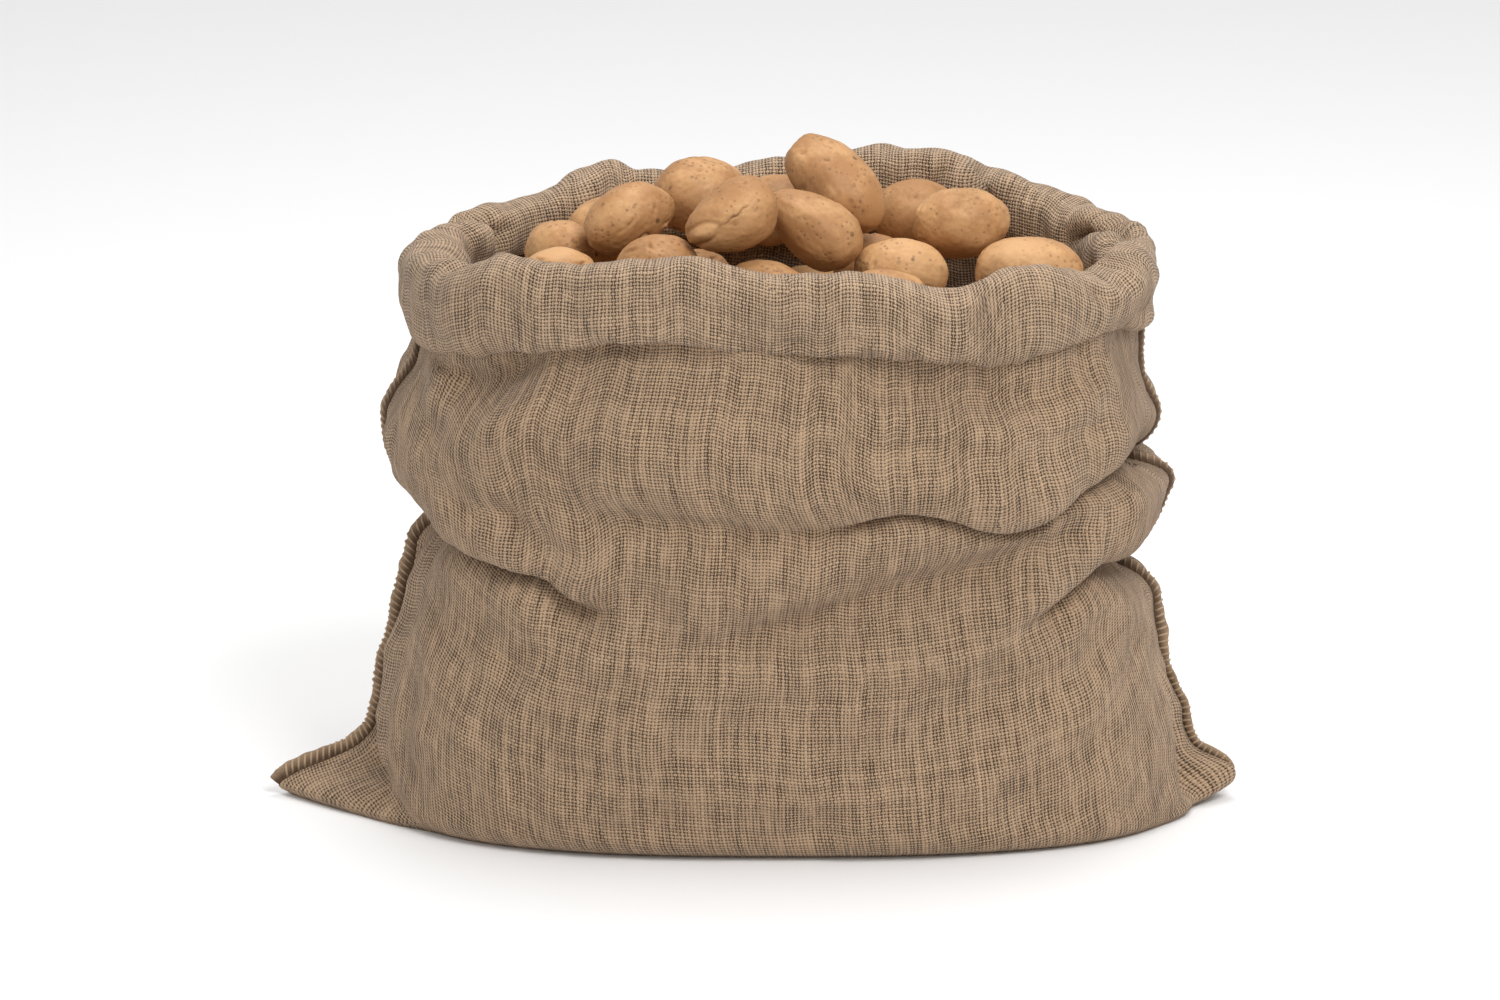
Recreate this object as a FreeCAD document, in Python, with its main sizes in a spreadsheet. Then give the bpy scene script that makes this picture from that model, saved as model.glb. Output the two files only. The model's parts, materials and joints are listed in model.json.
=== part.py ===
"""Hessian potato sack, standing full with its mouth rolled down into a cuff.

Millimetres. +Z is up, +X runs along the wide side of the sack and -Y is its front. The origin is the
middle of the flat base, on the floor. The potatoes of the heap lie in the mouth; the ones below them
fill the sack in layers.
"""
import FreeCAD, Part
import Sketcher
import math
import os
import random

Vector = FreeCAD.Vector
Placement = FreeCAD.Placement
Rotation = FreeCAD.Rotation

# Driving sizes: word, value in mm, meaning.
SIZES = (
    ("sack_width", 520, "widest part of the filled sack, along X"),
    ("sack_depth", 276, "deepest part of the filled sack, along Y"),
    ("neck_height", 329, "floor to the underside of the rolled cuff"),
    ("end_radius", 98, "radius of the two ends, seen from above"),
    ("foot_height", 20, "height of the rounded foot"),
    ("foot_tuck", 20, "how far the flat base stops short of the foot"),
    ("crease_height", 218, "floor to the deep crease round the middle"),
    ("crease_tuck", 33, "how far the crease pulls in at the two ends"),
    ("crease_dent", 9, "how far the crease pulls in at front and back"),
    ("chest_tuck", 15, "how far the upper bulge stays inside the belly at the ends"),
    ("chest_dent", 5, "how far the upper bulge stays inside the belly at front and back"),
    ("neck_tuck", 34, "how far the neck pulls in at the two ends"),
    ("neck_dent", 16, "how far the neck pulls in at front and back"),
    ("wall", 3, "thickness that stands for the cloth and its small folds"),
    ("cuff_height", 57, "height of the rolled cuff"),
    ("cuff_thickness", 35, "thickness of the rolled cuff"),
    ("cuff_overhang", 13, "how far the cuff stands proud of the neck"),
    ("cuff_corner", 13, "radius of the cuff's top and bottom edge"),
    ("cuff_end_radius", 106, "radius of the cuff's two ends, seen from above"),
    ("seam_width", 9, "how far the sewn side seam stands off the cloth"),
    ("seam_thickness", 5, "thickness of the sewn side seam"),
    ("ear_root_spread", 96, "size along Y of a corner ear where it leaves the sack"),
    ("ear_root_height", 48, "height of a corner ear where it leaves the sack"),
    ("ear_tip_spread", 24, "size along Y of a corner ear at its tip"),
    ("ear_tip_height", 11, "height of a corner ear at its tip"),
    ("left_ear_reach", 61, "how far the left ear reaches beyond the belly"),
    ("right_ear_reach", 24, "how far the right ear reaches beyond the belly"),
    ("potato_length", 74, "length of a middling buried potato"),
    ("potato_width", 56, "width of a middling buried potato"),
    ("potato_thickness", 51, "thickness of a middling buried potato"),
    ("potato_gap", 0.8, "least gap between two potatoes"),
    ("wall_gap", 2.5, "least gap between a potato and the cloth"),
)

# Heap potatoes from the lowest to the highest: name, length, width, thickness, place across and
# along the mouth as shares of its half sizes, rise of the middle above the neck, then the turn
# about Z, the climb of the long axis and the roll about it, in degrees.
HEAP = (
    ("potato_front_low_right", 58, 40, 38, 0.31, -0.76, 16, 8, 0, 0),
    ("potato_front_low_middle", 56, 40, 40, -0.05, -0.76, 21, -8, 0, 0),
    ("potato_in_gap", 50, 42, 38, 0.53, -0.34, -8, 70, 10, 0),
    ("potato_under_left", 58, 46, 42, -0.27, -0.18, 10, 30, 0, 0),
    ("potato_front_left", 54, 42, 40, -0.70, -0.60, 24, 8, 4, 0),
    ("potato_back_middle", 56, 46, 44, -0.02, 0.68, 33, 15, 5, 0),
    ("potato_left_small", 46, 40, 38, -0.67, 0.00, 26, -20, 8, 0),
    ("potato_right_front", 70, 50, 45, 0.74, -0.42, 24, 6, -4, 0),
    ("potato_back_left", 54, 46, 44, -0.52, 0.42, 27, 20, 0, 0),
    ("potato_front_middle", 54, 42, 40, -0.37, -0.68, 35, -10, 5, 0),
    ("potato_under_crown", 54, 44, 42, 0.28, 0.24, 8, -20, 0, 0),
    ("potato_front_right", 58, 42, 40, 0.36, -0.30, 19, -10, -4, 0),
    ("potato_back_right", 58, 48, 45, 0.41, 0.64, 32, -10, 5, 0),
    ("potato_sprouted", 62, 42, 40, -0.46, -0.14, 45, 14, 24, 0),
    ("potato_round_right", 64, 46, 45, 0.54, 0.04, 42, -4, 2, 0),
    ("potato_pear", 68, 46, 42, 0.09, -0.30, 47, -12, -36, 0),
    ("potato_round_left", 61, 54, 50, -0.25, 0.30, 54, 14, 10, 0),
    ("potato_kidney", 60, 46, 42, -0.15, -0.64, 61, 24, 20, 0),
    ("potato_crown", 78, 47, 45, 0.16, 0.18, 63, -28, -40, 0),
)

EAR_BEND = 0.45         # share of an ear's reach at which its top line bends
EAR_BEND_HEIGHT = 0.5   # share of the ear's root height that is left there
EAR_BEND_SPREAD = 0.6   # share of the ear's root spread that is left there
EAR_CORNER_HEIGHT = 0.74  # share of the ear's root height at which the seam turns up the sack
SEAM_SINK = 1           # how far the seam reaches into the cloth before it is cut back
LAYERS = 6              # nodes that share the buried potatoes
SIZE_SPREAD = 0.12      # buried potatoes differ from the middling size by up to this share
TILT = 25               # buried potatoes lie up to this many degrees off level
TRIES = 30              # places tried for each buried potato; the lowest one wins
GIVE_UP = 4             # filling ends after this many rounds of tries without a free place
SEED = 24               # makes the filling the same on every run
FILL_RISE = 16          # middles of buried potatoes stay below the neck by at least this much
DIRECTIONS = 24         # directions in which a potato is tested against the cloth
FINE = 0.1              # heights at which potatoes touch are found to this many mm

doc = FreeCAD.newDocument("potato_sack")
sheet = doc.addObject("Spreadsheet::Sheet", "Sizes")


# ---------------------------------------------------------------- sizes

def write_size(row, word, size, note):
    """Puts one size into the sheet as a plain number with its word."""
    sheet.set(f"A{row}", note)
    sheet.set(f"B{row}", str(size))
    sheet.setAlias(f"B{row}", word)


def fill_sheet():
    """Writes the driving sizes, then the three sizes of each heap potato."""
    rows = list(SIZES)
    for name, length, width, thickness, *_ in HEAP:
        rows.append((f"{name}_length", length, f"length of {name}"))
        rows.append((f"{name}_width", width, f"width of {name}"))
        rows.append((f"{name}_thickness", thickness, f"thickness of {name}"))
    for row, (word, size, note) in enumerate(rows, start=1):
        write_size(row, word, size, note)
    doc.recompute()


def value(word):
    """The number that the sheet holds under this word."""
    return float(sheet.get(word))


def number(terms):
    """A sum of sizes, given as {word: share}."""
    return sum(value(word) * share for word, share in terms.items())


def formula(terms):
    """The same sum as an expression on the sheet."""
    return " + ".join(f"Sizes.{word} * ({share})" for word, share in terms.items()) or "0"


def less(terms, word, share=1):
    """The terms with a share of one more size taken away."""
    return {**terms, word: terms.get(word, 0) - share}


# ---------------------------------------------------------------- ovals

def side_radius(half_width, half_depth, end):
    """Radius of an oval's two long sides, which meet its end arcs smoothly."""
    return ((half_width - end) ** 2 + half_depth ** 2 - end ** 2) / (2 * (half_depth - end))


def draw_oval(sketch, half_width, half_depth, end):
    """Draws an oval of four arcs; its three sizes are sums of sheet sizes."""
    a, b, r = number(half_width), number(half_depth), number(end)
    big = side_radius(a, b, r)
    turn = math.atan2(big - b, a - r)
    arcs = ((a - r, 0, r, -turn, turn), (0, b - big, big, turn, math.pi - turn),
            (r - a, 0, r, math.pi - turn, math.pi + turn),
            (0, big - b, big, math.pi + turn, 2 * math.pi - turn))
    for x, y, radius, start, stop in arcs:
        circle = Part.Circle(Vector(x, y, 0), Vector(0, 0, 1), radius)
        sketch.addGeometry(Part.ArcOfCircle(circle, start, stop), False)
    for first in range(3):
        sketch.addConstraint(Sketcher.Constraint("Tangent", first, 2, first + 1, 1))
    sketch.addConstraint(Sketcher.Constraint("Coincident", 3, 2, 0, 1))
    for arc, axis in ((0, -1), (2, -1), (1, -2)):
        sketch.addConstraint(Sketcher.Constraint("PointOnObject", arc, 3, axis))
    sketch.addConstraint(Sketcher.Constraint("Equal", 0, 2))
    sketch.addConstraint(Sketcher.Constraint("Equal", 1, 3))
    for word, constraint in (("end", Sketcher.Constraint("Radius", 0, r)),
                             ("reach", Sketcher.Constraint("DistanceX", -1, 1, 0, 3, a - r)),
                             ("side", Sketcher.Constraint("Radius", 1, big))):
        index = sketch.addConstraint(constraint)
        sketch.renameConstraint(index, word)
    wide, deep, tip = formula(half_width), formula(half_depth), formula(end)
    sketch.setExpression("Constraints.end", tip)
    sketch.setExpression("Constraints.reach", f"{wide} - ({tip})")
    sketch.setExpression("Constraints.side", f"((({wide}) - ({tip}))^2 + ({deep})^2 - ({tip})^2)"
                                             f" / (2 * (({deep}) - ({tip})))")


def oval_reach(x, y, half_width, half_depth, end):
    """How far a point lies outside an oval; negative inside it."""
    big = side_radius(half_width, half_depth, end)
    across, along = abs(x), abs(y)
    turn = math.atan2(big - half_depth, half_width - end)
    if math.atan2(along, across - (half_width - end)) < turn:
        return math.hypot(across - (half_width - end), along) - end
    return math.hypot(across, along + big - half_depth) - big


# ---------------------------------------------------------------- cloth

HALF_WIDTH = {"sack_width": 0.5}
HALF_DEPTH = {"sack_depth": 0.5}

# Levels of the sack: name, height, how far it pulls in at the ends and at front and back.
LEVELS = (
    ("base", {"foot_height": 0}, {"foot_tuck": 1}, {"foot_tuck": 1}),
    ("toe", {"foot_height": 0.4}, {"foot_tuck": 0.25}, {"foot_tuck": 0.25}),
    ("foot", {"foot_height": 1}, {}, {}),
    ("belly", {"crease_height": 0.4}, {}, {}),
    ("hip", {"crease_height": 0.74}, {"crease_tuck": 0.45}, {"crease_dent": 0.5}),
    ("crease", {"crease_height": 1}, {"crease_tuck": 1}, {"crease_dent": 1}),
    ("chest", {"crease_height": 0.62, "neck_height": 0.38}, {"chest_tuck": 1}, {"chest_dent": 1}),
    ("shoulder", {"crease_height": 0.2, "neck_height": 0.8}, {"chest_tuck": 1.1}, {"chest_dent": 1.4}),
    ("neck", {"neck_height": 1}, {"neck_tuck": 1}, {"neck_dent": 1}),
)


def level_sketch(name, height, tuck, dent, inset):
    """One level of the sack as a sketch; inset moves it in by a share of the wall."""
    sketch = doc.addObject("Sketcher::SketchObject", name)
    sketch.Placement = Placement(Vector(0, 0, number(height)), Rotation())
    sketch.setExpression("Placement.Base.z", formula(height))
    half_width, half_depth = dict(HALF_WIDTH), dict(HALF_DEPTH)
    for word, share in tuck.items():
        half_width = less(half_width, word, share)
    for word, share in dent.items():
        half_depth = less(half_depth, word, share)
    draw_oval(sketch, less(half_width, "wall", inset), less(half_depth, "wall", inset),
              less({"end_radius": 1}, "wall", inset))
    return sketch


def loft(name, sections, ruled=False):
    """A closed loft through sections."""
    solid = doc.addObject("Part::Loft", name)
    solid.Sections = sections
    solid.Solid = True
    solid.Ruled = ruled
    return solid


def cut(label, base, tool):
    """One solid taken away from another, under its own label."""
    result = doc.addObject("Part::Cut", label)
    result.Base = base
    result.Tool = tool
    result.Label = label
    return result


def make_sack(cuff):
    """The cloth up to its neck: a full form, and the hollow sack that is cut from it and from the cuff."""
    outer = [level_sketch(f"outer_{name}", height, tuck, dent, 0) for name, height, tuck, dent in LEVELS]
    inner = []
    for name, height, tuck, dent in LEVELS:
        if name == "base":
            height = {"wall": 1}
        if name == "neck":
            height = {**height, "wall": 1}
        inner.append(level_sketch(f"inner_{name}", height, tuck, dent, 1))
    form = loft("sack_form", outer)
    return form, cut("sack_body", cut("sack_shell", form, loft("sack_hollow", inner)), cuff)


def cuff_half_sizes():
    """Half sizes of the oval that the middle of the cuff's section runs along."""
    width = {"sack_width": 0.5, "neck_tuck": -1, "cuff_overhang": 1, "cuff_thickness": -0.5}
    depth = {"sack_depth": 0.5, "neck_dent": -1, "cuff_overhang": 1, "cuff_thickness": -0.5}
    return width, depth, {"cuff_end_radius": 1}


def origin_plane(body, role):
    """One of a body's own planes."""
    return next(plane for plane in body.Origin.OriginFeatures if plane.Role == role)


def make_cuff():
    """The rolled mouth: one oval section run round the oval of the mouth."""
    width, depth, end = cuff_half_sizes()
    middle = {"neck_height": 1, "cuff_height": 0.5}
    body = doc.addObject("PartDesign::Body", "rolled_cuff")
    path = body.newObject("Sketcher::SketchObject", "cuff_path")
    path.AttachmentSupport = [(origin_plane(body, "XY_Plane"), "")]
    path.MapMode = "FlatFace"
    path.setExpression("AttachmentOffset.Base.z", formula(middle))
    draw_oval(path, width, depth, end)
    section = body.newObject("Sketcher::SketchObject", "cuff_section")
    section.AttachmentSupport = [(origin_plane(body, "XZ_Plane"), "")]
    section.MapMode = "FlatFace"
    section.AttachmentOffset = Placement(Vector(number(width), number(middle), 0), Rotation(90, 0, 0))
    section.setExpression("AttachmentOffset.Base.x", formula(width))
    section.setExpression("AttachmentOffset.Base.y", formula(middle))
    draw_oval(section, {"cuff_height": 0.5}, {"cuff_thickness": 0.5}, {"cuff_corner": 1})
    doc.recompute()
    roll = body.newObject("PartDesign::AdditivePipe", "cuff_roll")
    roll.Profile = section
    roll.Spine = path
    roll.Mode = "Standard"
    body.Tip = roll
    body.Label = "rolled_cuff"
    return body


def ear_section(name, x, spread, height, spread_share=1, height_share=1):
    """One upright ellipse of a corner ear, standing on the floor at x."""
    ellipse = doc.addObject("Part::Ellipse", name)
    wide, tall = value(spread) * spread_share / 2, value(height) * height_share / 2
    ellipse.MajorRadius = wide
    ellipse.MinorRadius = tall
    ellipse.setExpression("MajorRadius", f"Sizes.{spread} * {spread_share} / 2")
    ellipse.setExpression("MinorRadius", f"Sizes.{height} * {height_share} / 2")
    ellipse.Placement = Placement(Vector(x, 0, tall), Rotation(Vector(1, 1, 1), 120))
    return ellipse


def make_ear(side, sign, form):
    """A flattened bottom corner of the cloth, lying on the floor beside the sack."""
    reach = value(f"{side}_ear_reach")
    edge = value("sack_width") / 2
    root = edge - value("foot_tuck")
    sections = [
        ear_section(f"{side}_ear_root", sign * root, "ear_root_spread", "ear_root_height"),
        ear_section(f"{side}_ear_middle", sign * (edge + reach * EAR_BEND),
                    "ear_root_spread", "ear_root_height", EAR_BEND_SPREAD, EAR_BEND_HEIGHT),
        ear_section(f"{side}_ear_tip", sign * (edge + reach), "ear_tip_spread", "ear_tip_height"),
    ]
    return cut(f"corner_ear_{side}", loft(f"{side}_ear_form", sections, ruled=True), form)


def sack_line():
    """Height and half width of each level, from the floor up."""
    line = []
    for _, height, tuck, _ in LEVELS:
        line.append((number(height), value("sack_width") / 2 - number(tuck)))
    return line


def make_seam(side, sign, form, ear):
    """The sewn edge of the cloth, down one end of the sack and out along its ear."""
    stand = value("seam_width") / 2
    ear_top = value("ear_root_height")
    edge = value("sack_width") / 2
    points = [Vector(sign * (half + stand), 0, height) for height, half in sack_line()
              if height > ear_top + 2 * stand]
    points[-1].z -= 2 * stand
    reach = value(f"{side}_ear_reach")
    corner = Vector(sign * (edge + stand), 0, ear_top * EAR_CORNER_HEIGHT + stand)
    bend = Vector(sign * (edge + reach * EAR_BEND), 0, ear_top * EAR_BEND_HEIGHT + stand)
    tip = Vector(sign * (edge + reach - SEAM_SINK), 0, value("ear_tip_height") + stand / 2)
    path = Part.BSplineCurve()
    path.interpolate([tip, bend, corner] + points)
    ellipse = Part.Ellipse(Vector(0, 0, 0), stand + SEAM_SINK, value("seam_thickness") / 2)
    start_turn = Rotation(Vector(0, 0, 1), path.tangent(path.FirstParameter)[0])
    profile = Part.Wire(ellipse.toShape())
    profile.Placement = Placement(tip, start_turn)
    ridge = Part.Wire(path.toShape()).makePipeShell([profile], True, False)
    seam = doc.addObject("Part::Feature", f"side_seam_{side}")
    seam.Shape = ridge.cut(form.Shape).cut(ear.Shape)
    seam.Label = f"side_seam_{side}"
    return seam


# ---------------------------------------------------------------- potatoes

class Potato:
    """An ellipsoid with a middle, three half lengths and a turn."""

    def __init__(self, size, turn, middle):
        self.half = [extent / 2 for extent in size]
        self.turn = turn
        self.middle = middle
        padded = [half + value("potato_gap") / 2 for half in self.half]
        axes = [turn.multVec(axis) for axis in (Vector(1, 0, 0), Vector(0, 1, 0), Vector(0, 0, 1))]
        columns = [(axis.x, axis.y, axis.z) for axis in axes]
        self.spread = [[sum(padded[k] ** 2 * columns[k][i] * columns[k][j] for k in range(3))
                        for j in range(3)] for i in range(3)]
        self.longest = max(padded)
        self.shortest = min(padded)

    def reach(self, x, y, z):
        """The point of the potato that lies furthest in a direction."""
        pull = [sum(self.spread[i][j] * (x, y, z)[j] for j in range(3)) for i in range(3)]
        size = math.sqrt(pull[0] * x + pull[1] * y + pull[2] * z)
        return self.middle + Vector(*[part / size for part in pull])


def touch_measure(one, other, share, step):
    """Contact function of two ellipsoids at one share, for the step between their middles."""
    p, q = one.spread, other.spread
    rest = 1 - share
    a, b, c = (rest * p[0][0] + share * q[0][0], rest * p[0][1] + share * q[0][1],
               rest * p[0][2] + share * q[0][2])
    d, e, f = (rest * p[1][1] + share * q[1][1], rest * p[1][2] + share * q[1][2],
               rest * p[2][2] + share * q[2][2])
    c11, c12, c13 = d * f - e * e, c * e - b * f, b * e - c * d
    c22, c23, c33 = a * f - c * c, b * c - a * e, a * d - b * b
    x, y, z = step.x, step.y, step.z
    spread = c11 * x * x + c22 * y * y + c33 * z * z + 2 * (c12 * x * y + c13 * x * z + c23 * y * z)
    return share * rest * spread / (a * c11 + b * c12 + c * c13)


def clash(one, other, height):
    """Whether two potatoes overlap when the first one's middle is at this height."""
    step = Vector(one.middle.x - other.middle.x, one.middle.y - other.middle.y, height - other.middle.z)
    distance = step.Length
    if distance >= one.longest + other.longest:
        return False
    if distance <= one.shortest + other.shortest:
        return True
    low, high = 0.0, 1.0
    for _ in range(14):
        left, right = low + (high - low) / 3, high - (high - low) / 3
        at_left, at_right = (touch_measure(one, other, share, step) for share in (left, right))
        if max(at_left, at_right) > 1:
            return False
        if at_left < at_right:
            low = left
        else:
            high = right
    return True


def lowest_clear(potato, placed, height):
    """Lowest height, from the given one up, at which a potato touches no other."""
    near = [other for other in placed
            if math.hypot(other.middle.x - potato.middle.x, other.middle.y - potato.middle.y)
            < other.longest + potato.longest]
    blocked = True
    while blocked:
        blocked = False
        for other in near:
            if not clash(potato, other, height):
                continue
            low, high = height, other.middle.z + other.longest + potato.longest
            while high - low > FINE:
                half = (low + high) / 2
                low, high = (half, high) if clash(potato, other, half) else (low, half)
            height = high
            blocked = True
    return height


def inner_sizes(height):
    """Half width, half depth and end radius of the free space inside the cloth at a height."""
    neck = value("neck_height")
    if height >= neck:
        width, depth, end = (number(terms) for terms in cuff_half_sizes())
        roll = value("cuff_thickness") / 2
        return width - roll, depth - roll, end - roll
    line = [(number(level), value("sack_width") / 2 - number(tuck), value("sack_depth") / 2 - number(dent))
            for _, level, tuck, dent in LEVELS]
    for (low, wide, deep), (high, next_wide, next_deep) in zip(line, line[1:]):
        if height <= high:
            share = (height - low) / (high - low)
            wall = value("wall")
            return (wide + share * (next_wide - wide) - wall, deep + share * (next_deep - deep) - wall,
                    value("end_radius") - wall)
    return None


def inside(potato):
    """Whether a potato stays off the cloth all round."""
    gap = value("wall_gap")
    for step in range(DIRECTIONS):
        angle = 2 * math.pi * step / DIRECTIONS
        point = potato.reach(math.cos(angle), math.sin(angle), 0)
        for height in (point.z, point.z + potato.shortest / 2, point.z - potato.shortest / 2):
            if oval_reach(point.x, point.y, *inner_sizes(max(height, 0.0))) > -gap:
                return False
    return True


def place_heap():
    """Settles the heap: each potato at its place in the mouth, moved in and up until it is clear."""
    half_width, half_depth, _ = inner_sizes(value("neck_height"))
    placed = {}
    for name, _, _, _, across, along, rise, turn, climb, roll in HEAP:
        size = [value(f"{name}_{word}") for word in ("length", "width", "thickness")]
        middle = Vector(across * half_width, along * half_depth, value("neck_height") + rise)
        potato = Potato(size, Rotation(turn, -climb, roll), middle)
        while not inside(potato):
            potato.middle = potato.middle - Vector(potato.middle.x, potato.middle.y, 0).normalize()
        potato.middle.z = lowest_clear(potato, placed.values(), potato.middle.z)
        placed[name] = potato
    return placed


def random_potato(dice):
    """A buried potato of a chance size and turn, at a chance place."""
    size = [value(f"potato_{word}") * dice.uniform(1 - SIZE_SPREAD, 1 + SIZE_SPREAD)
            for word in ("length", "width", "thickness")]
    turn = Rotation(dice.uniform(0, 180), dice.uniform(-TILT, TILT), dice.uniform(0, 180))
    middle = Vector(dice.uniform(-0.5, 0.5) * value("sack_width"),
                    dice.uniform(-0.5, 0.5) * value("sack_depth"), 0)
    return Potato(size, turn, middle)


def settle(potato, placed):
    """Puts a buried potato as low as it goes; False where it fits nowhere."""
    floor = value("wall") + value("wall_gap") + (potato.middle - potato.reach(0, 0, -1)).z
    potato.middle.z = lowest_clear(potato, placed, floor)
    return potato.middle.z < value("neck_height") - FILL_RISE and inside(potato)


def fill_sack(heap):
    """Buried potatoes, each at the lowest of several chance places, until no place is left."""
    dice = random.Random(SEED)
    buried, misses = [], 0
    while misses < GIVE_UP:
        tries = [random_potato(dice) for _ in range(TRIES)]
        fitting = [potato for potato in tries if settle(potato, list(heap.values()) + buried)]
        if fitting:
            buried.append(min(fitting, key=lambda potato: potato.middle.z))
            misses = 0
        else:
            misses += 1
    return sorted(buried, key=lambda potato: potato.middle.z)


def ellipsoid(name, potato, formulas):
    """A potato as an ellipsoid whose three half lengths follow the sheet."""
    solid = doc.addObject("Part::Ellipsoid", name)
    for radius, half, text in zip(("Radius2", "Radius3", "Radius1"), potato.half, formulas):
        setattr(solid, radius, half)
        solid.setExpression(radius, text)
    solid.Placement = Placement(potato.middle, potato.turn)
    return solid


def make_potatoes():
    """The heap, one node each, and the buried potatoes in layers."""
    heap = place_heap()
    nodes = []
    for name, potato in heap.items():
        formulas = [f"Sizes.{name}_{word} / 2" for word in ("length", "width", "thickness")]
        solid = ellipsoid(name, potato, formulas)
        solid.Label = name
        nodes.append(solid)
    buried = fill_sack(heap)
    print("buried potatoes:", len(buried))
    for layer in range(LAYERS):
        members = []
        for index in range(layer * len(buried) // LAYERS, (layer + 1) * len(buried) // LAYERS):
            potato = buried[index]
            formulas = [f"Sizes.potato_{word} * {2 * half / value('potato_' + word):.6f} / 2"
                        for word, half in zip(("length", "width", "thickness"), potato.half)]
            members.append(ellipsoid(f"buried_potato_{index + 1}", potato, formulas))
        group = doc.addObject("Part::Compound", f"buried_layer_{layer + 1}")
        group.Links = members
        group.Label = f"buried_layer_{layer + 1}"
        nodes.append(group)
    return nodes


# ---------------------------------------------------------------- build and write

def build():
    """Makes every piece and returns the ones that are written out."""
    fill_sheet()
    cuff = make_cuff()
    form, sack = make_sack(cuff)
    doc.recompute()
    nodes = [sack, cuff]
    for side, sign in (("left", -1), ("right", 1)):
        ear = make_ear(side, sign, form)
        doc.recompute()
        nodes += [ear, make_seam(side, sign, form, ear)]
    nodes += make_potatoes()
    doc.recompute()
    return nodes


def check(nodes):
    """Stops on a failed object or a bad shape."""
    for item in doc.Objects:
        if "Invalid" in item.State or "Error" in item.State:
            raise RuntimeError(f"{item.Label} failed: {item.State}")
    for node in nodes:
        if node.Shape.isNull() or not node.Shape.isValid() or node.Shape.Volume <= 0:
            raise RuntimeError(f"{node.Label} has no valid shape")


def write(nodes):
    """Writes each piece to its own file."""
    os.makedirs("parts", exist_ok=True)
    for node in nodes:
        node.Shape.exportStep(f"parts/{node.Label}.step")
        print(f"{node.Label}: {len(node.Shape.Solids)} solids, {node.Shape.Volume / 1000:.1f} cm3")


pieces = build()
check(pieces)
write(pieces)
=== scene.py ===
"""Hessian sack of potatoes: cloth, rolled cuff, overlocked seams and the heap, built round the frame."""
import json
import logging
import math
from dataclasses import dataclass, field
from enum import Enum
from typing import Any, Optional, Sequence

import bmesh
import bpy
import numpy as np
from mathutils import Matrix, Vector


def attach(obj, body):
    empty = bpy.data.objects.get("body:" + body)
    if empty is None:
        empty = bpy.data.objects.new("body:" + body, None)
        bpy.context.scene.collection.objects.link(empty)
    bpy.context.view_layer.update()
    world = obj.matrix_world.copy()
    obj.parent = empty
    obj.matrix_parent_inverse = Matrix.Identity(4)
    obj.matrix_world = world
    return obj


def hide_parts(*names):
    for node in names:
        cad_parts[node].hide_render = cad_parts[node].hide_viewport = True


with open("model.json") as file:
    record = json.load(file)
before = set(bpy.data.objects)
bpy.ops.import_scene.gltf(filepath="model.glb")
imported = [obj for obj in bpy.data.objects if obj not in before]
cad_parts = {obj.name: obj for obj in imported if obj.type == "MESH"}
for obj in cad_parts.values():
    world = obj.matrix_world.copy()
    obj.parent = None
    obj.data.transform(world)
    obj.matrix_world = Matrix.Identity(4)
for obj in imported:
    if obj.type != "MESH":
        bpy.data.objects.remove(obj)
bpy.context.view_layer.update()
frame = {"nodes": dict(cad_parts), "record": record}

logging.basicConfig(level=logging.INFO, format="%(message)s")
LOG = logging.getLogger("potato_sack")

# Cloth, folds and seams are laid out in millimetres; potatoes, thickness and studio are in metres.
MM = 0.001
Pairs = Sequence[tuple[float, float]]
Numbers = np.ndarray


# ------------------------------------------------------------------ curves and ripples

def smooth(points: Pairs, x: Numbers) -> Numbers:
    """Follows a smooth curve through given points.

    Args:
        points: (place, value) pairs with rising places.
        x: Places to read; beyond the ends the end values hold.

    Returns:
        The curve's value at each place.
    """
    place = np.array([p for p, _ in points], float)
    level = np.array([v for _, v in points], float)
    slope = np.gradient(level, place)
    slope[0] = slope[-1] = 0.0
    x = np.clip(x, place[0], place[-1])
    left = np.clip(np.searchsorted(place, x, side="right") - 1, 0, len(place) - 2)
    gap = place[left + 1] - place[left]
    s = (x - place[left]) / gap
    return (level[left] * (2 * s**3 - 3 * s**2 + 1) + level[left + 1] * (3 * s**2 - 2 * s**3)
            + slope[left] * gap * (s**3 - 2 * s**2 + s) + slope[left + 1] * gap * (s**3 - s**2))


def ease(x: Numbers) -> Numbers:
    """Rises smoothly from 0 to 1 as x goes from 0 to 1."""
    x = np.clip(x, 0.0, 1.0)
    return x * x * (3 - 2 * x)


def direction(ways: Numbers) -> Numbers:
    """The same ways, each of length 1."""
    return ways / np.linalg.norm(ways, axis=-1, keepdims=True)


def add_up(steps: Numbers) -> Numbers:
    """Running total of the steps down the rows, from 0."""
    return np.concatenate([np.zeros((1, *steps.shape[1:])), np.cumsum(steps, axis=0)])


def bump(x: Numbers, width: float) -> Numbers:
    """A bell of height 1 about 0."""
    return np.exp(-((x / width) ** 2))


def ripples(points: Numbers, size: float, seed: int, count: int = 14) -> Numbers:
    """Smooth, seeded unevenness, about -1.5 to 1.5.

    Args:
        points: Places, one per row.
        size: Typical distance from crest to crest, in the unit of the points.
        seed: Number that fixes the pattern.
        count: Number of waves that are added up.

    Returns:
        One value for each point.
    """
    dice = np.random.default_rng(seed)
    way = direction(dice.normal(size=(count, points.shape[-1])))
    pace = 2 * math.pi / size * dice.uniform(0.6, 1.5, count)
    phase = dice.uniform(0, 2 * math.pi, count)
    return np.sin(points @ (way * pace[:, None]).T + phase).sum(axis=-1) / math.sqrt(count / 2)


# ------------------------------------------------------------------ shader expressions

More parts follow.
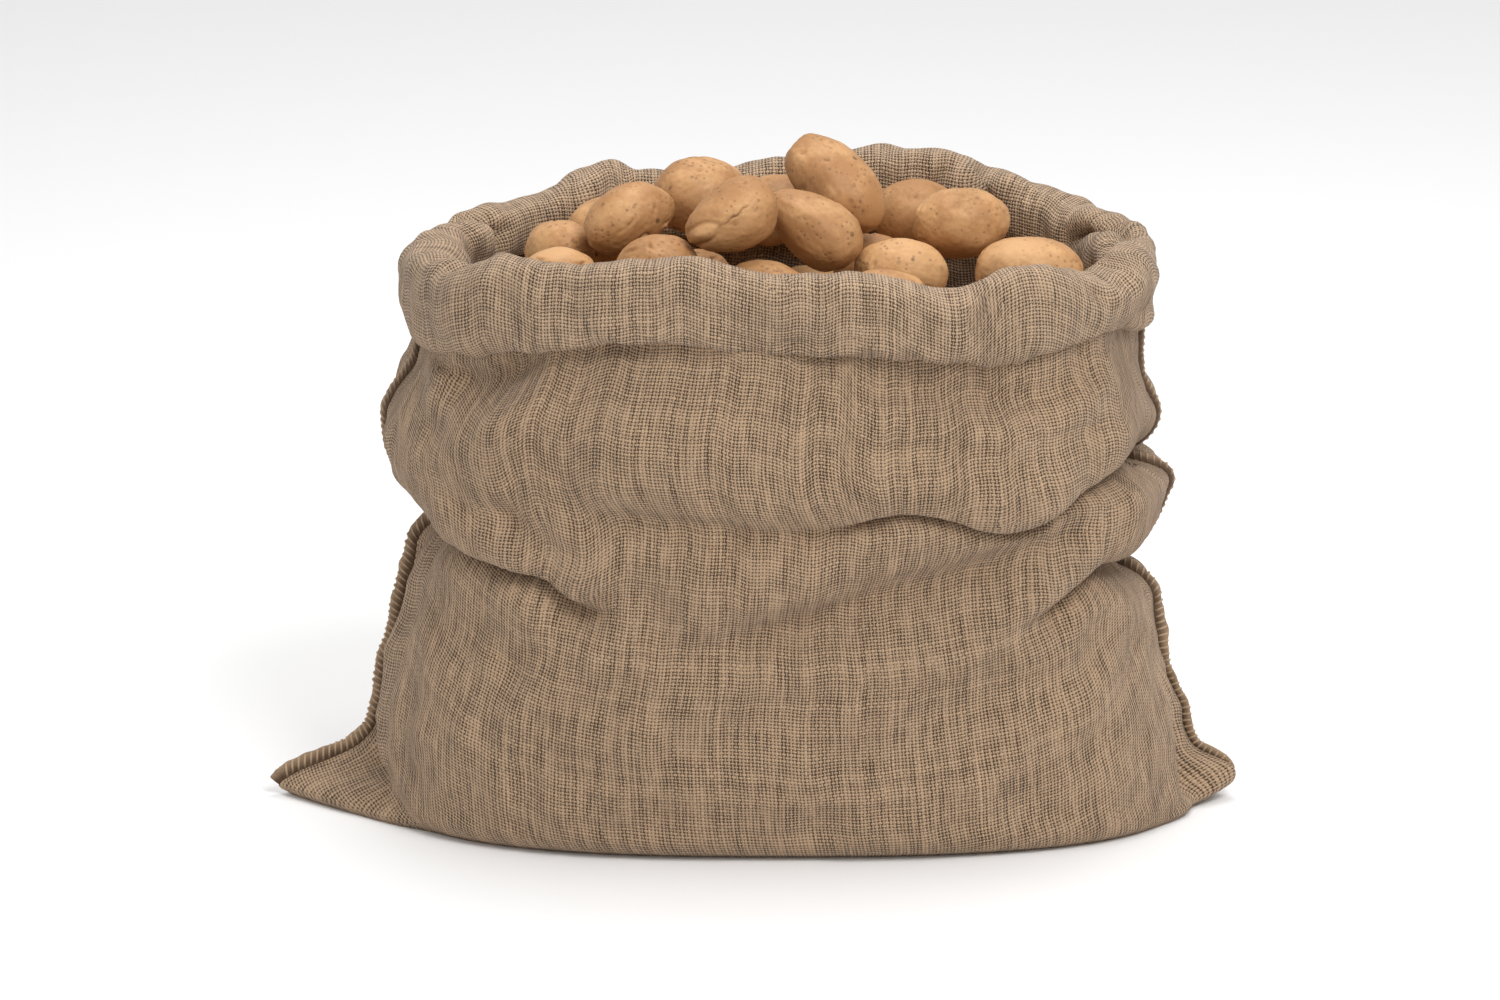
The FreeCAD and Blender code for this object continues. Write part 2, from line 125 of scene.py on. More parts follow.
class Shade:
    """A number in a material's node tree that can be used in Python expressions."""

    def __init__(self, board: "Board", socket: Any) -> None:
        """Wraps one output socket of a board."""
        self.board = board
        self.socket = socket

    def _math(self, operation: str, *values: Any) -> "Shade":
        """Adds one Math node on the given values."""
        return self.board.out("ShaderNodeMath", {"operation": operation}, dict(enumerate(values)))

    def __add__(self, other: Any) -> "Shade":
        """self + other."""
        return self._math("ADD", self, other)

    def __radd__(self, other: Any) -> "Shade":
        """other + self."""
        return self._math("ADD", other, self)

    def __sub__(self, other: Any) -> "Shade":
        """self - other."""
        return self._math("SUBTRACT", self, other)

    def __rsub__(self, other: Any) -> "Shade":
        """other - self."""
        return self._math("SUBTRACT", other, self)

    def __mul__(self, other: Any) -> "Shade":
        """self * other."""
        return self._math("MULTIPLY", self, other)

    def __rmul__(self, other: Any) -> "Shade":
        """other * self."""
        return self._math("MULTIPLY", other, self)

    def __truediv__(self, other: Any) -> "Shade":
        """self / other."""
        return self._math("DIVIDE", self, other)

    def __gt__(self, other: Any) -> "Shade":
        """1 where self is greater, else 0."""
        return self._math("GREATER_THAN", self, other)

    def __mod__(self, other: Any) -> "Shade":
        """self modulo other, never negative."""
        return self._math("FLOORED_MODULO", self, other)

    def floor(self) -> "Shade":
        """Whole number below."""
        return self._math("FLOOR", self)

    def cosine(self) -> "Shade":
        """Cosine of an angle in radians."""
        return self._math("COSINE", self)

    def most(self, other: Any) -> "Shade":
        """The greater of two values."""
        return self._math("MAXIMUM", self, other)

    def span(self, low: float, high: float, start: float = 0.0, end: float = 1.0) -> "Shade":
        """Maps low..high smoothly to start..end and holds the ends."""
        return self.board.out("ShaderNodeMapRange", {"interpolation_type": "SMOOTHSTEP"},
                              {"Value": self, "From Min": low, "From Max": high,
                               "To Min": start, "To Max": end})


class Board:
    """Builds one material's nodes."""

    def __init__(self, name: str) -> None:
        """Makes an empty material with a Principled shader."""
        self.material = bpy.data.materials.new(name)
        self.material.use_nodes = True
        self.tree = self.material.node_tree
        self.surface = self.tree.nodes["Principled BSDF"]

    def node(self, kind: str, settings: Optional[dict[str, Any]] = None,
             values: Optional[dict[Any, Any]] = None) -> Any:
        """Adds any node.

        Args:
            kind: Blender's node type.
            settings: Node properties.
            values: Socket name or number to a plain value or a wrapped socket.

        Returns:
            The node.
        """
        node = self.tree.nodes.new(kind)
        for word, setting in (settings or {}).items():
            setattr(node, word, setting)
        for word, value in (values or {}).items():
            self.feed(node.inputs[word], value)
        return node

    def feed(self, socket: Any, value: Any) -> None:
        """Sets a socket to a plain value or links a wrapped one to it."""
        if isinstance(value, Shade):
            self.tree.links.new(value.socket, socket)
        elif isinstance(value, tuple) and len(value) == 3 and len(socket.default_value) == 4:
            socket.default_value = (*value, 1.0)
        else:
            socket.default_value = value

    def out(self, kind: str, settings: Optional[dict[str, Any]] = None,
            values: Optional[dict[Any, Any]] = None, output: Any = 0) -> Shade:
        """Adds a node and wraps one of its outputs."""
        return Shade(self, self.node(kind, settings, values).outputs[output])

    def noise(self, where: Shade, scale: float, detail: float = 2.0, rough: float = 0.5) -> Shade:
        """Soft noise from 0 to 1 about 0.5 at the given places."""
        return self.out("ShaderNodeTexNoise", {"noise_dimensions": "3D"},
                        {"Vector": where, "Scale": scale, "Detail": detail, "Roughness": rough}, "Fac")

    def dice(self, number: Shade, shift: float) -> Shade:
        """A chance value from 0 to 1 for each whole number."""
        return self.out("ShaderNodeTexWhiteNoise", {"noise_dimensions": "1D"}, {"W": number + shift}, "Value")

    def mix(self, share: Any, first: Any, second: Any, blend: str = "MIX") -> Shade:
        """Mixes two colours."""
        return self.out("ShaderNodeMix", {"data_type": "RGBA", "blend_type": blend},
                        {0: share, 6: first, 7: second}, 2)

    def grey(self, value: Shade) -> Shade:
        """A number as a colour of three equal parts."""
        return self.out("ShaderNodeCombineColor", None, {0: value, 1: value, 2: value})

    def attribute(self, name: str, output: str) -> Shade:
        """A value stored on the mesh."""
        return self.out("ShaderNodeAttribute", {"attribute_name": name}, None, output)

    def raise_surface(self, height: Shade, strength: float, distance: float) -> None:
        """Feeds a height to the surface's normal through a Bump node."""
        self.feed(self.surface.inputs["Normal"],
                  self.out("ShaderNodeBump", None, {"Height": height, "Strength": strength,
                                                    "Distance": distance}, "Normal"))

    def finish(self, colour: Any, roughness: Any, **constants: float) -> Any:
        """Feeds the surface its colour, roughness and plain constants.

        Args:
            colour: Base colour, wrapped or plain.
            roughness: Roughness, wrapped or plain.
            **constants: Other sockets, with underscores for spaces.

        Returns:
            The material.
        """
        self.feed(self.surface.inputs["Base Color"], colour)
        self.feed(self.surface.inputs["Roughness"], roughness)
        for word, value in constants.items():
            self.surface.inputs[word.replace("_", " ")].default_value = value
        return self.material


@dataclass(frozen=True)
class HessianFinish:
    """Plain-woven jute cloth, coarse and open, read from the cloth's own weave coordinates."""

    name: str = "hessian"
    straw: tuple[float, float, float] = (0.487, 0.331, 0.207)
    # gap is painted shade: the dark colour of the low places between the yarns and of the holes in the weave.
    gap: tuple[float, float, float] = (0.05, 0.028, 0.014)
    warp_pitch: float = 0.00215
    weft_pitch: float = 0.0021
    relief: float = 0.0007
    wander: float = 1.1

    def make(self) -> Any:
        """Builds the material.

        Returns:
            The hessian material.
        """
        board = Board(self.name)
        cloth = board.attribute("weave", "Vector")
        parts = board.node("ShaderNodeSeparateXYZ", None, {0: cloth})
        across, along = (Shade(board, parts.outputs[k]) for k in (0, 1))
        wander = board.noise(cloth, 26.0, 2.0)
        drift = board.noise(cloth, 19.0, 2.0)
        warp = across / self.warp_pitch + (wander - 0.5) * self.wander
        weft = along / self.weft_pitch + (drift - 0.5) * self.wander
        warp_number, weft_number = warp.floor(), weft.floor()
        warp_place, weft_place = warp - warp_number - 0.5, weft - weft_number - 0.5
        warp_chance, weft_chance = board.dice(warp_number, 3.0), board.dice(weft_number, 71.0)
        fibre = board.noise(cloth, 900.0, 2.0, 0.7)
        slub = board.noise(cloth, 150.0, 1.0)
        tight = board.noise(cloth, 34.0, 2.0)
        warp_width = 0.33 + 0.40 * warp_chance + 0.26 * slub + 0.26 * tight
        weft_width = 0.46 + 0.22 * weft_chance + 0.30 * (1 - slub) + 0.24 * tight
        warp_round = self.rounding(warp_place, warp_width)
        weft_round = self.rounding(weft_place, weft_width)
        warp_sign = 1 - 2 * (warp_number % 2)
        weft_sign = 1 - 2 * (weft_number % 2)
        over = (weft * math.pi - math.pi / 2).cosine() * warp_sign
        under = (warp * math.pi - math.pi / 2).cosine() * weft_sign
        warp_height = warp_round * (0.56 + 0.44 * over)
        weft_height = weft_round * (0.56 - 0.44 * under)
        height = warp_height.most(weft_height)
        on_top = warp_height > weft_height
        chance = weft_chance + on_top * (warp_chance - weft_chance)
        bands = board.noise(self.stretch(across, along, 0.08), 130.0, 3.0)
        clouds = board.noise(cloth, 9.0, 3.0)
        tone = 0.84 + 0.13 * chance + 0.26 * (bands - 0.5) + 0.26 * (clouds - 0.5) + 0.36 * (fibre - 0.5)
        straw = board.mix(1.0, self.straw, board.grey(tone), "MULTIPLY")
        loose = board.noise(self.stretch(across, along, 0.13), 320.0, 2.0, 0.6)
        # Painted shade: where the yarns lie low or leave holes, the colour goes to the dark gap colour.
        colour = board.mix((height + (loose - 0.5)).span(0.03, 0.75), self.gap, straw)
        board.raise_surface(height + 0.25 * fibre, 1.0, self.relief)
        return board.finish(colour, 0.93, Sheen_Weight=0.12, Sheen_Roughness=0.6,
                            Specular_IOR_Level=0.2)

    @staticmethod
    def stretch(across: Shade, along: Shade, share: float) -> Shade:
        """Weave coordinates that are drawn out along the warp."""
        return across.board.out("ShaderNodeCombineXYZ", None, {0: across, 1: along * share})

    def rounding(self, place: Shade, width: Shade) -> Shade:
        """Height of a round yarn across its own width, 0 beside it."""
        half = 2 * place / width
        return (1 - half * half).most(0.0)


@dataclass(frozen=True)
class ThreadFinish:
    """Twisted jute thread of the overlocked seams."""

    name: str = "seam_thread"
    # light is the thread's lit colour and dark its painted shade, mixed by the painted light stored on the
    # mesh.
    light: tuple[float, float, float] = (0.46, 0.325, 0.21)
    dark: tuple[float, float, float] = (0.07, 0.038, 0.02)

    def make(self) -> Any:
        """Builds the material.

        Returns:
            The thread material.
        """
        board = Board(self.name)
        where = board.out("ShaderNodeTexCoord", None, None, "Object")
        fibre = board.noise(where, 1400.0, 2.0, 0.7)
        patch = board.noise(where, 90.0, 2.0)
        # Painted light and shade: the stored value is light on the outer edge of the fin and thread, dark on
        # their flanks beside the cloth.
        rim_painted_light = board.attribute("rim_painted_light", "Fac")
        shade = rim_painted_light + 0.5 * (fibre - 0.5) + 0.4 * (patch - 0.5)
        colour = board.mix(shade.span(0.0, 1.0), self.dark, self.light)
        board.raise_surface(fibre, 0.5, 0.0004)
        return board.finish(colour, 0.9, Sheen_Weight=0.1, Specular_IOR_Level=0.2)


@dataclass(frozen=True)
class SkinFinish:
    """Potato skin: thin, mottled, dotted with pores, dusted with dry soil, dark in the eyes."""

    name: str = "potato_skin"
    pale: tuple[float, float, float] = (0.57, 0.322, 0.143)
    warm: tuple[float, float, float] = (0.385, 0.188, 0.071)
    soil: tuple[float, float, float] = (0.20, 0.10, 0.045)
    dark: tuple[float, float, float] = (0.11, 0.055, 0.028)

    def make(self) -> Any:
        """Builds the material.

        Returns:
            The skin material.
        """
        board = Board(self.name)
        where = board.out("ShaderNodeTexCoord", None, None, "Object")
        tint = board.attribute("tint", "Fac")
        eye = board.attribute("eye", "Fac")
        cloud = board.noise(where, 38.0, 3.0, 0.6)
        grain = board.noise(where, 420.0, 3.0, 0.6)
        skin = board.mix((cloud + 0.5 * (tint - 0.5) + 0.25 * (grain - 0.5)).span(0.3, 0.72),
                         self.pale, self.warm)
        pores = board.out("ShaderNodeTexVoronoi", {"feature": "F1"}, {"Vector": where, "Scale": 260.0},
                          "Distance")
        pore_patch = board.noise(where, 70.0, 2.0)
        pore = pores.span(0.20, 0.34, 1.0, 0.0) * pore_patch.span(0.42, 0.62)
        skin = board.mix(0.55 * pore, skin, self.soil)
        flecks = board.out("ShaderNodeTexVoronoi", {"feature": "F1"}, {"Vector": where, "Scale": 95.0},
                           "Distance")
        fleck = flecks.span(0.10, 0.22, 1.0, 0.0) * board.noise(where, 25.0, 2.0).span(0.45, 0.6)
        skin = board.mix(0.8 * fleck, skin, self.dark)
        dirt = board.noise(where, 22.0, 5.0, 0.65).span(0.56, 0.74)
        skin = board.mix(0.45 * dirt, skin, self.soil)
        skin = board.mix(eye.span(0.15, 1.0) * 0.8, skin, self.dark)
        board.raise_surface(grain + 0.6 * cloud - 0.8 * pore, 0.35, 0.0008)
        return board.finish(skin, 0.5 + 0.25 * dirt + 0.12 * grain, Specular_IOR_Level=0.35)


@dataclass(frozen=True)
class FloorFinish:
    """Plain pale floor."""

    name: str = "pale_floor"
    colour: tuple[float, float, float] = (0.92, 0.92, 0.92)

    def make(self) -> Any:
        """Builds the floor's material."""
        return Board(self.name).finish(self.colour, 0.8)


# ------------------------------------------------------------------ meshes

def mesh_piece(name: str, points: Numbers, faces: Numbers, material: Any) -> Any:
    """Makes one smooth-shaded object.

    Args:
        name: Object name.
        points: Corners in metres, one per row.
        faces: Corner numbers, four (or three) per row.
        material: Its material.

    Returns:
        The object.
    """
    mesh = bpy.data.meshes.new(name)
    size = faces.shape[1]
    mesh.vertices.add(len(points))
    mesh.vertices.foreach_set("co", np.ascontiguousarray(points, dtype=np.float32).ravel())
    mesh.loops.add(faces.size)
    mesh.loops.foreach_set("vertex_index", faces.ravel().astype(np.int32))
    mesh.polygons.add(len(faces))
    mesh.polygons.foreach_set("loop_start", np.arange(0, faces.size, size, dtype=np.int32))
    mesh.update(calc_edges=True)
    mesh.polygons.foreach_set("use_smooth", np.ones(len(faces), bool))
    mesh.materials.append(material)
    piece = bpy.data.objects.new(name, mesh)
    bpy.context.scene.collection.objects.link(piece)
    return piece


def tube_faces(rows: int, columns: int) -> Numbers:
    """Quads of a grid that closes round its columns."""
    row, column = np.meshgrid(np.arange(rows - 1), np.arange(columns), indexing="ij")
    start = row * columns + column
    beside = row * columns + (column + 1) % columns
    return np.stack([start, beside, beside + columns, start + columns], -1).reshape(-1, 4)


def cloth_piece(name: str, grid: Numbers, run: Numbers, round_length: float, material: Any,
                thickness: float) -> Any:
    """Makes one length of cloth from a grid that closes round its columns.

    Args:
        name: Object name.
        grid: Rows by columns of places, in millimetres.
        run: Length along the cloth at each grid point, in millimetres.
        round_length: Length of cloth once round, in millimetres.
        material: Its material.
        thickness: Cloth thickness in metres.

    Returns:
        The object, with its weave coordinates stored on the corners.
    """
    rows, columns = grid.shape[:2]
    faces = tube_faces(rows, columns)
    piece = mesh_piece(name, grid.reshape(-1, 3) * MM, faces, material)
    across = np.arange(columns + 1) / columns * round_length
    row, column = np.meshgrid(np.arange(rows - 1), np.arange(columns), indexing="ij")
    corner_row = np.stack([row, row, row + 1, row + 1], -1)
    corner_column = np.stack([column, column + 1, column + 1, column], -1)
    weave = np.stack([across[corner_column], run[corner_row, corner_column % columns]], -1)
    layer = piece.data.uv_layers.new(name="weave")
    layer.data.foreach_set("uv", (weave * MM).astype(np.float32).ravel())
    shell = piece.modifiers.new("thickness", "SOLIDIFY")
    shell.thickness = thickness
    shell.offset = -1.0
    apply_modifiers(piece)
    return piece


def read_mesh(mesh: Any) -> tuple[Numbers, Numbers]:
    """Points and triangles of a frame node's mesh."""
    points = np.zeros(len(mesh.vertices) * 3)
    mesh.vertices.foreach_get("co", points)
    mesh.calc_loop_triangles()
    index = np.zeros(len(mesh.loop_triangles) * 3, np.int32)
    mesh.loop_triangles.foreach_get("vertices", index)
    return points.reshape(-1, 3), index.reshape(-1, 3)


def store(piece: Any, name: str, values: Numbers) -> None:
    """Keeps one number per point on the mesh."""
    layer = piece.data.attributes.new(name, "FLOAT", "POINT")
    layer.data.foreach_set("value", values.astype(np.float32))


def apply_modifiers(piece: Any) -> None:
    """Replaces an object's mesh with its finished mesh and drops the modifiers."""
    graph = bpy.context.evaluated_depsgraph_get()
    done = bpy.data.meshes.new_from_object(piece.evaluated_get(graph))
    piece.modifiers.clear()
    piece.data = done


# ------------------------------------------------------------------ cloth

@dataclass
class Fold:
    """A fold or dimple along a line in the cloth; what lies on its left hangs over it.

    Attributes:
        line: (place round, height, strength) points, in millimetres and from 0 to 1.
        depth: How far the cloth is drawn in at the line.
        width: Half width of the drawn-in stretch.
        bulge: How far the cloth on the line's left stands out.
        droop: How far that cloth slides over the line.
        below: How far the cloth on its right stands out.
    """

    line: Sequence[tuple[float, float, float]]
    depth: float
    width: float = 11.0
    bulge: float = 5.0
    droop: float = 10.0
    below: float = 2.0

    def pull(self, place: Numbers, height: Numbers) -> tuple[Numbers, Numbers, Numbers]:
        """Works out how the line moves the cloth.

        Args:
            place: Distance round of each point.
            height: Its height before folding.

        Returns:
            The moves outwards, round and up.
        """
        knots = np.array(self.line, float)
        length = add_up(np.hypot(*np.diff(knots[:, :2], axis=0).T))
        even = np.linspace(0, length[-1], max(6, int(length[-1] / 9)))
        curve = np.stack([smooth(list(zip(length, knots[:, k])), even) for k in range(3)], -1)
        # Only cloth near the line is worked out; each of its points belongs to the nearest piece of the line.
        margin = 5 * self.width
        near = ((place > knots[:, 0].min() - margin) & (place < knots[:, 0].max() + margin)
                & (height > knots[:, 1].min() - margin) & (height < knots[:, 1].max() + margin))
        spot = np.stack([place[near], height[near]], -1)
        best = np.full(len(spot), 1e9)
        signed, strength, across = np.zeros(len(spot)), np.zeros(len(spot)), np.zeros((len(spot), 2))
        for first, second in zip(curve[:-1], curve[1:]):
            step = second[:2] - first[:2]
            share = np.clip((spot - first[:2]) @ step / (step @ step), 0, 1)
            away = spot - first[:2] - share[:, None] * step
            distance = np.hypot(*away.T)
            closer = distance < best
            normal = np.array([-step[1], step[0]]) / np.hypot(*step)
            best[closer] = distance[closer]
            signed[closer] = (np.where((spot - first[:2]) @ normal > 0, 1, -1) * distance)[closer]
            strength[closer] = (first[2] + share * (second[2] - first[2]))[closer]
            across[closer] = normal
        # Across the line: the groove itself, a roll on the left, a lower roll on the right.
        out = strength * (-self.depth * bump(signed, self.width)
                          + self.bulge * bump(signed - 2.3 * self.width, 1.6 * self.width)
                          + self.below * bump(signed + 2.1 * self.width, 1.4 * self.width))
        slide = -strength * self.droop * bump(signed - 1.2 * self.width, 1.05 * self.width)
        moves = [np.zeros_like(height) for _ in range(3)]
        for move, part in zip(moves, (out, slide * across[:, 0], slide * across[:, 1])):
            move[near] = part
        return moves[0], moves[1], moves[2]


@dataclass
class Ear:
    """A bottom corner of the cloth that sticks out flat on the floor.

    Attributes:
        sign: -1 on the left, 1 on the right.
        reach: (height, how far it stands out) pairs.
        spread: (height, half its size from front to back at the root) pairs.
        forward: How far its tip leans to the front.
        point: How sharply it narrows, 1 being a plain triangle.
    """

    sign: int
    reach: Pairs
    spread: Pairs
    forward: float = 0.0
    point: float = 1.2

    def pull(self, points: Numbers, height: Numbers) -> Numbers:
        """Returns how far each point moves outwards along X."""
        near = np.where(points[..., 0] * self.sign > 0, 1.0, 0.0)
        narrow = np.clip(1 - np.abs(points[..., 1] + self.forward) / smooth(self.spread, height), 0, 1)
        return self.sign * near * narrow**self.point * smooth(self.reach, height)


@dataclass
class SackCloth:
    """The cloth of the sack from its base up to the neck, with its folds and corner ears.

    Attributes:
        columns: Grid columns once round.
        row_step: Height of a grid row above the foot.
        cloth_round: Length of cloth once round.
        thickness: Cloth thickness in metres.
        neck: Height where the plain sack ends, under the cuff.
        foot: Height of the finer rows at the floor.
        foot_count: Number of those rows.
        outline_points: Points of half an outline, from which the columns are spaced evenly.
        base_count: Rows that lie under the sack.
        base_lift: How far the cloth clears the floor in the middle.
        still: Height over which the unevenness sets in.
        lift_start: Height from which the cloth rises and sinks with the neck's edge.
        tuck_in: How far the hidden edge runs inwards under the cuff.
        tuck_up: How far it climbs there.
        tuck_count: Rows of that edge.
        left: (height, distance from the middle) pairs of the left end; right, front and back likewise.
        squareness: (height, power of the rounded outline) pairs, 2 being an ellipse.
        neck_height: (place round, height of the neck's edge) pairs.
        folds: Folds of the front and both ends, placed from the front middle.
        back_folds: Folds of the back, placed from the back middle.
        ears: Corners that stick out on the floor.
        edge_columns: The two sewn edges, by sign, once the cloth is built.
    """

    columns: int = 560
    row_step: float = 2.4
    cloth_round: float = 1220.0
    thickness: float = 0.0012
    neck: float = 329.0
    foot: float = 24.0
    foot_count: int = 14
    outline_points: int = 721
    base_count: int = 26
    base_lift: float = 0.2
    still: float = 30.0
    lift_start: float = 150.0
    tuck_in: float = 16.0
    tuck_up: float = 13.0
    tuck_count: int = 12
    left: Pairs = ((0, 242), (4, 246), (10, 249), (22, 250), (45, 251), (70, 251), (95, 246), (125, 236),
                   (160, 226), (200, 224), (235, 235), (262, 242), (285, 238), (305, 229), (329, 222))
    right: Pairs = ((0, 251), (4, 253), (10, 253), (22, 250), (46, 248), (70, 244), (96, 239), (120, 235),
                    (145, 226), (172, 223), (200, 229), (220, 235), (240, 228), (262, 227), (285, 225),
                    (305, 221), (329, 219))
    front: Pairs = ((0, 116), (4, 123), (10, 128), (22, 131), (60, 134), (120, 132), (160, 129), (200, 129),
                    (240, 133), (275, 134), (300, 131), (318, 124), (329, 118))
    back: Pairs = ((0, 114), (4, 121), (10, 127), (22, 131), (60, 135), (120, 134), (160, 131), (200, 130),
                   (240, 132), (275, 132), (300, 128), (329, 119))
    squareness: Pairs = ((0, 2.65), (60, 2.5), (200, 2.4), (329, 2.7))
    neck_height: Pairs = ((-610, 331), (-400, 326), (-305, 306), (-235, 306), (-205, 307), (-170, 317),
                          (-140, 324), (-90, 328), (-10, 321), (50, 320), (100, 316), (145, 310), (190, 315),
                          (240, 320), (305, 310), (400, 326), (610, 331))
    folds: Sequence[Fold] = field(default_factory=lambda: (
        Fold(((-290, 203, 0), (-262, 203, 0.5), (-226, 199, 1), (-180, 187, 1), (-152, 179, 0.85),
              (-136, 166, 0.7), (-124, 156, 0.3), (-112, 150, 0)), 17, 10, 10, 15, 2),
        Fold(((-400, 196, 0), (-360, 197, 0.7), (-310, 199, 1), (-265, 201, 1), (-225, 199, 0)),
             19, 19, 2, 3, 1),
        Fold(((-40, 213, 0), (0, 213, 0.15), (27, 218, 0.35), (46, 227, 0.7), (64, 234, 1), (88, 236, 1),
              (108, 233, 1), (136, 226, 1), (160, 229, 1), (184, 240, 1), (215, 243, 0.9), (250, 242, 0.4),
              (280, 240, 0)), 13, 9, 9, 14, 2),
        Fold(((195, 244, 0), (232, 245, 0.8), (262, 246, 1), (310, 244, 1), (350, 241, 0.8), (390, 240, 0)),
             17, 15, 2, 1, 3),
        Fold(((140, 138, 0), (172, 152, 0.5), (190, 166, 0.9), (208, 176, 1), (238, 177, 0.9),
              (262, 172, 0.3), (285, 168, 0)), 14, 10, 8, 11, 3),
        Fold(((205, 174, 0), (238, 170, 0.8), (270, 165, 1), (310, 161, 1), (350, 160, 0.8), (390, 160, 0)),
             15, 13, 2, 1, 2),
        Fold(((-112, 120, 0), (-60, 136, 0.6), (0, 153, 1), (54, 167, 1), (110, 182, 1), (160, 205, 0.9),
              (200, 218, 0.4)), 10, 17, 5, 5, 4),
        Fold(((-150, 236, 0), (-112, 223, 0.7), (-60, 217, 1), (0, 216, 0.9), (27, 220, 0.4)),
             8.5, 16, 5, 4, 3),
        Fold(((-205, 226, 0), (-176, 222, 0.8), (-160, 212, 1), (-140, 200, 0.9), (-122, 193, 0.3)),
             7, 10, 3, 3, 3),
        Fold(((-132, 160, 0.6), (-116, 160, 1), (-96, 168, 0.4)), 9, 13, 3, 1, 6),
        Fold(((-208, 316, 0.9), (-190, 313, 1), (-168, 318, 0.9), (-150, 326, 0)), 15, 12, 0, 0, 5),
        Fold(((40, 316, 0), (80, 314, 0.9), (130, 311, 1), (180, 312, 0.9), (215, 318, 0.3)), 9, 11, 0, 0, 4),
        Fold(((-120, 308, 0), (-60, 310, 0.8), (20, 305, 0.8), (70, 300, 0)), 2.6, 12, 0, 0, 1.5),
        Fold(((-255, 292, 0), (-220, 288, 0.8), (-165, 297, 0.7), (-120, 292, 0)), 5, 14, 3, 0, 3),
        Fold(((-205, 90, 0), (-170, 112, 0.8), (-140, 138, 0.8), (-122, 148, 0)), 6, 13, 3, 0, 4),
        Fold(((-95, 196, 0), (-80, 176, 0.9), (-82, 150, 0.8), (-96, 132, 0)), 5.5, 14, 3, 0, 4),
        Fold(((120, 92, 0), (168, 112, 0.8), (214, 122, 0.8), (262, 118, 0)), 6, 14, 3, 0, 3),
        Fold(((-262, 110, 0), (-240, 80, 0.8), (-246, 46, 0)), 4, 12, 1, 0, 2),
        Fold(((-60, 84, 0), (10, 92, 0.8), (90, 84, 0)), 2.2, 20, 1, 0, 1),
        Fold(((150, 282, 0), (196, 276, 0.8), (238, 283, 0)), 5, 14, 3, 0, 3),
        Fold(((20, 268, 0), (70, 276, 0.8), (118, 268, 0)), 2.2, 15, 1, 0, 1.5),
        Fold(((276, 4, 0.3), (277, 16, 1), (279, 36, 0.9), (284, 64, 0.4), (287, 90, 0)), 11, 8, 4, 2, 2),
        Fold(((-296, 190, 0), (-295, 150, 0.8), (-294, 100, 1), (-292, 60, 1), (-287, 36, 0.8),
              (-280, 20, 0)), 9, 6.5, 4.5, 1, 0),
        Fold(((-330, 14, 0), (-312, 22, 0.5), (-282, 26, 1), (-262, 30, 0.5), (-246, 34, 0)), 4, 7, 1, 0, 2),
        Fold(((-268, 6, 0), (-252, 13, 1), (-236, 16, 0)), 3, 6, 1, 0, 1),
    ))
    back_folds: Sequence[Fold] = field(default_factory=lambda: (
        Fold(((-320, 236, 0.7), (-280, 238, 1), (-200, 226, 1), (-120, 214, 1), (-40, 221, 0.8),
              (40, 229, 0)), 18, 11, 6, 12, 2),
        Fold(((10, 160, 0), (60, 170, 0.6), (120, 178, 1), (210, 192, 1), (290, 198, 1)), 20, 11, 6, 12, 2),
        Fold(((-310, 166, 0.8), (-260, 158, 0.8), (-200, 140, 0.5), (-150, 132, 0)), 14, 11, 4, 8, 2),
        Fold(((-130, 122, 0), (-60, 130, 0.9), (40, 124, 0.9), (110, 112, 0)), 5, 17, 3, 1, 2),
        Fold(((60, 262, 0), (120, 252, 0.9), (200, 256, 0.9), (260, 262, 0)), 6, 15, 3, 2, 2),
        Fold(((-180, 300, 0), (-100, 306, 0.9), (0, 300, 0.9), (90, 306, 0)), 4, 13, 1, 0, 2),
    ))
    ears: Sequence[Ear] = field(default_factory=lambda: (
        Ear(-1, ((0, 65), (3, 67), (8, 66), (13, 58), (19, 47), (25, 33), (31, 18), (39, 8), (55, 3),
                 (90, 0)), ((0, 74), (10, 66), (20, 46), (35, 30), (60, 26))),
        Ear(1, ((0, 12), (4, 20), (9, 28), (15, 32), (22, 31), (27, 22), (32, 12), (40, 5), (60, 0)),
            ((0, 60), (7, 50), (14, 34), (28, 25), (60, 24)), 6),
    ))
    edge_columns: dict[int, Numbers] = field(default_factory=dict)

    def places(self, rows: Numbers) -> Numbers:
        """Lays the plain sack, before any fold.

        Args:
            rows: Heights of the rows.

        Returns:
            Rows by columns of places, the columns evenly spaced round each half of the cloth.
        """
        turn = np.linspace(0, math.pi, self.outline_points)
        grid = np.zeros((len(rows), self.columns, 3))
        half = self.columns // 2
        for index, height in enumerate(rows):
            level = np.array([height])
            power = 2.0 / smooth(self.squareness, level)[0]
            left, right = smooth(self.left, level)[0], smooth(self.right, level)[0]
            for part, side in ((0, self.back), (1, self.front)):
                cosine, sine = np.cos(turn + part * math.pi), np.sin(turn + part * math.pi)
                x = np.sign(cosine) * np.abs(cosine) ** power * np.where(cosine > 0, right, left)
                y = np.sign(sine) * np.abs(sine) ** power * smooth(side, level)[0]
                length = add_up(np.hypot(np.diff(x), np.diff(y)))
                even = np.arange(half) / half * length[-1]
                span = slice(part * half, (part + 1) * half)
                grid[index, span, 0] = np.interp(even, length, x)
                grid[index, span, 1] = np.interp(even, length, y)
            grid[index, :, 2] = height
        return grid

    @staticmethod
    def outward(grid: Numbers) -> Numbers:
        """Level direction away from the sack at each grid point."""
        step = np.roll(grid, -1, axis=1) - np.roll(grid, 1, axis=1)
        return direction(np.stack([step[..., 1], -step[..., 0], np.zeros(step.shape[:2])], -1))

    def round_places(self) -> Numbers:
        """Distance round from the front middle of each column, from minus to plus half the cloth."""
        share = np.arange(self.columns) / self.columns
        return ((share - 0.75 + 0.5) % 1.0 - 0.5) * self.cloth_round

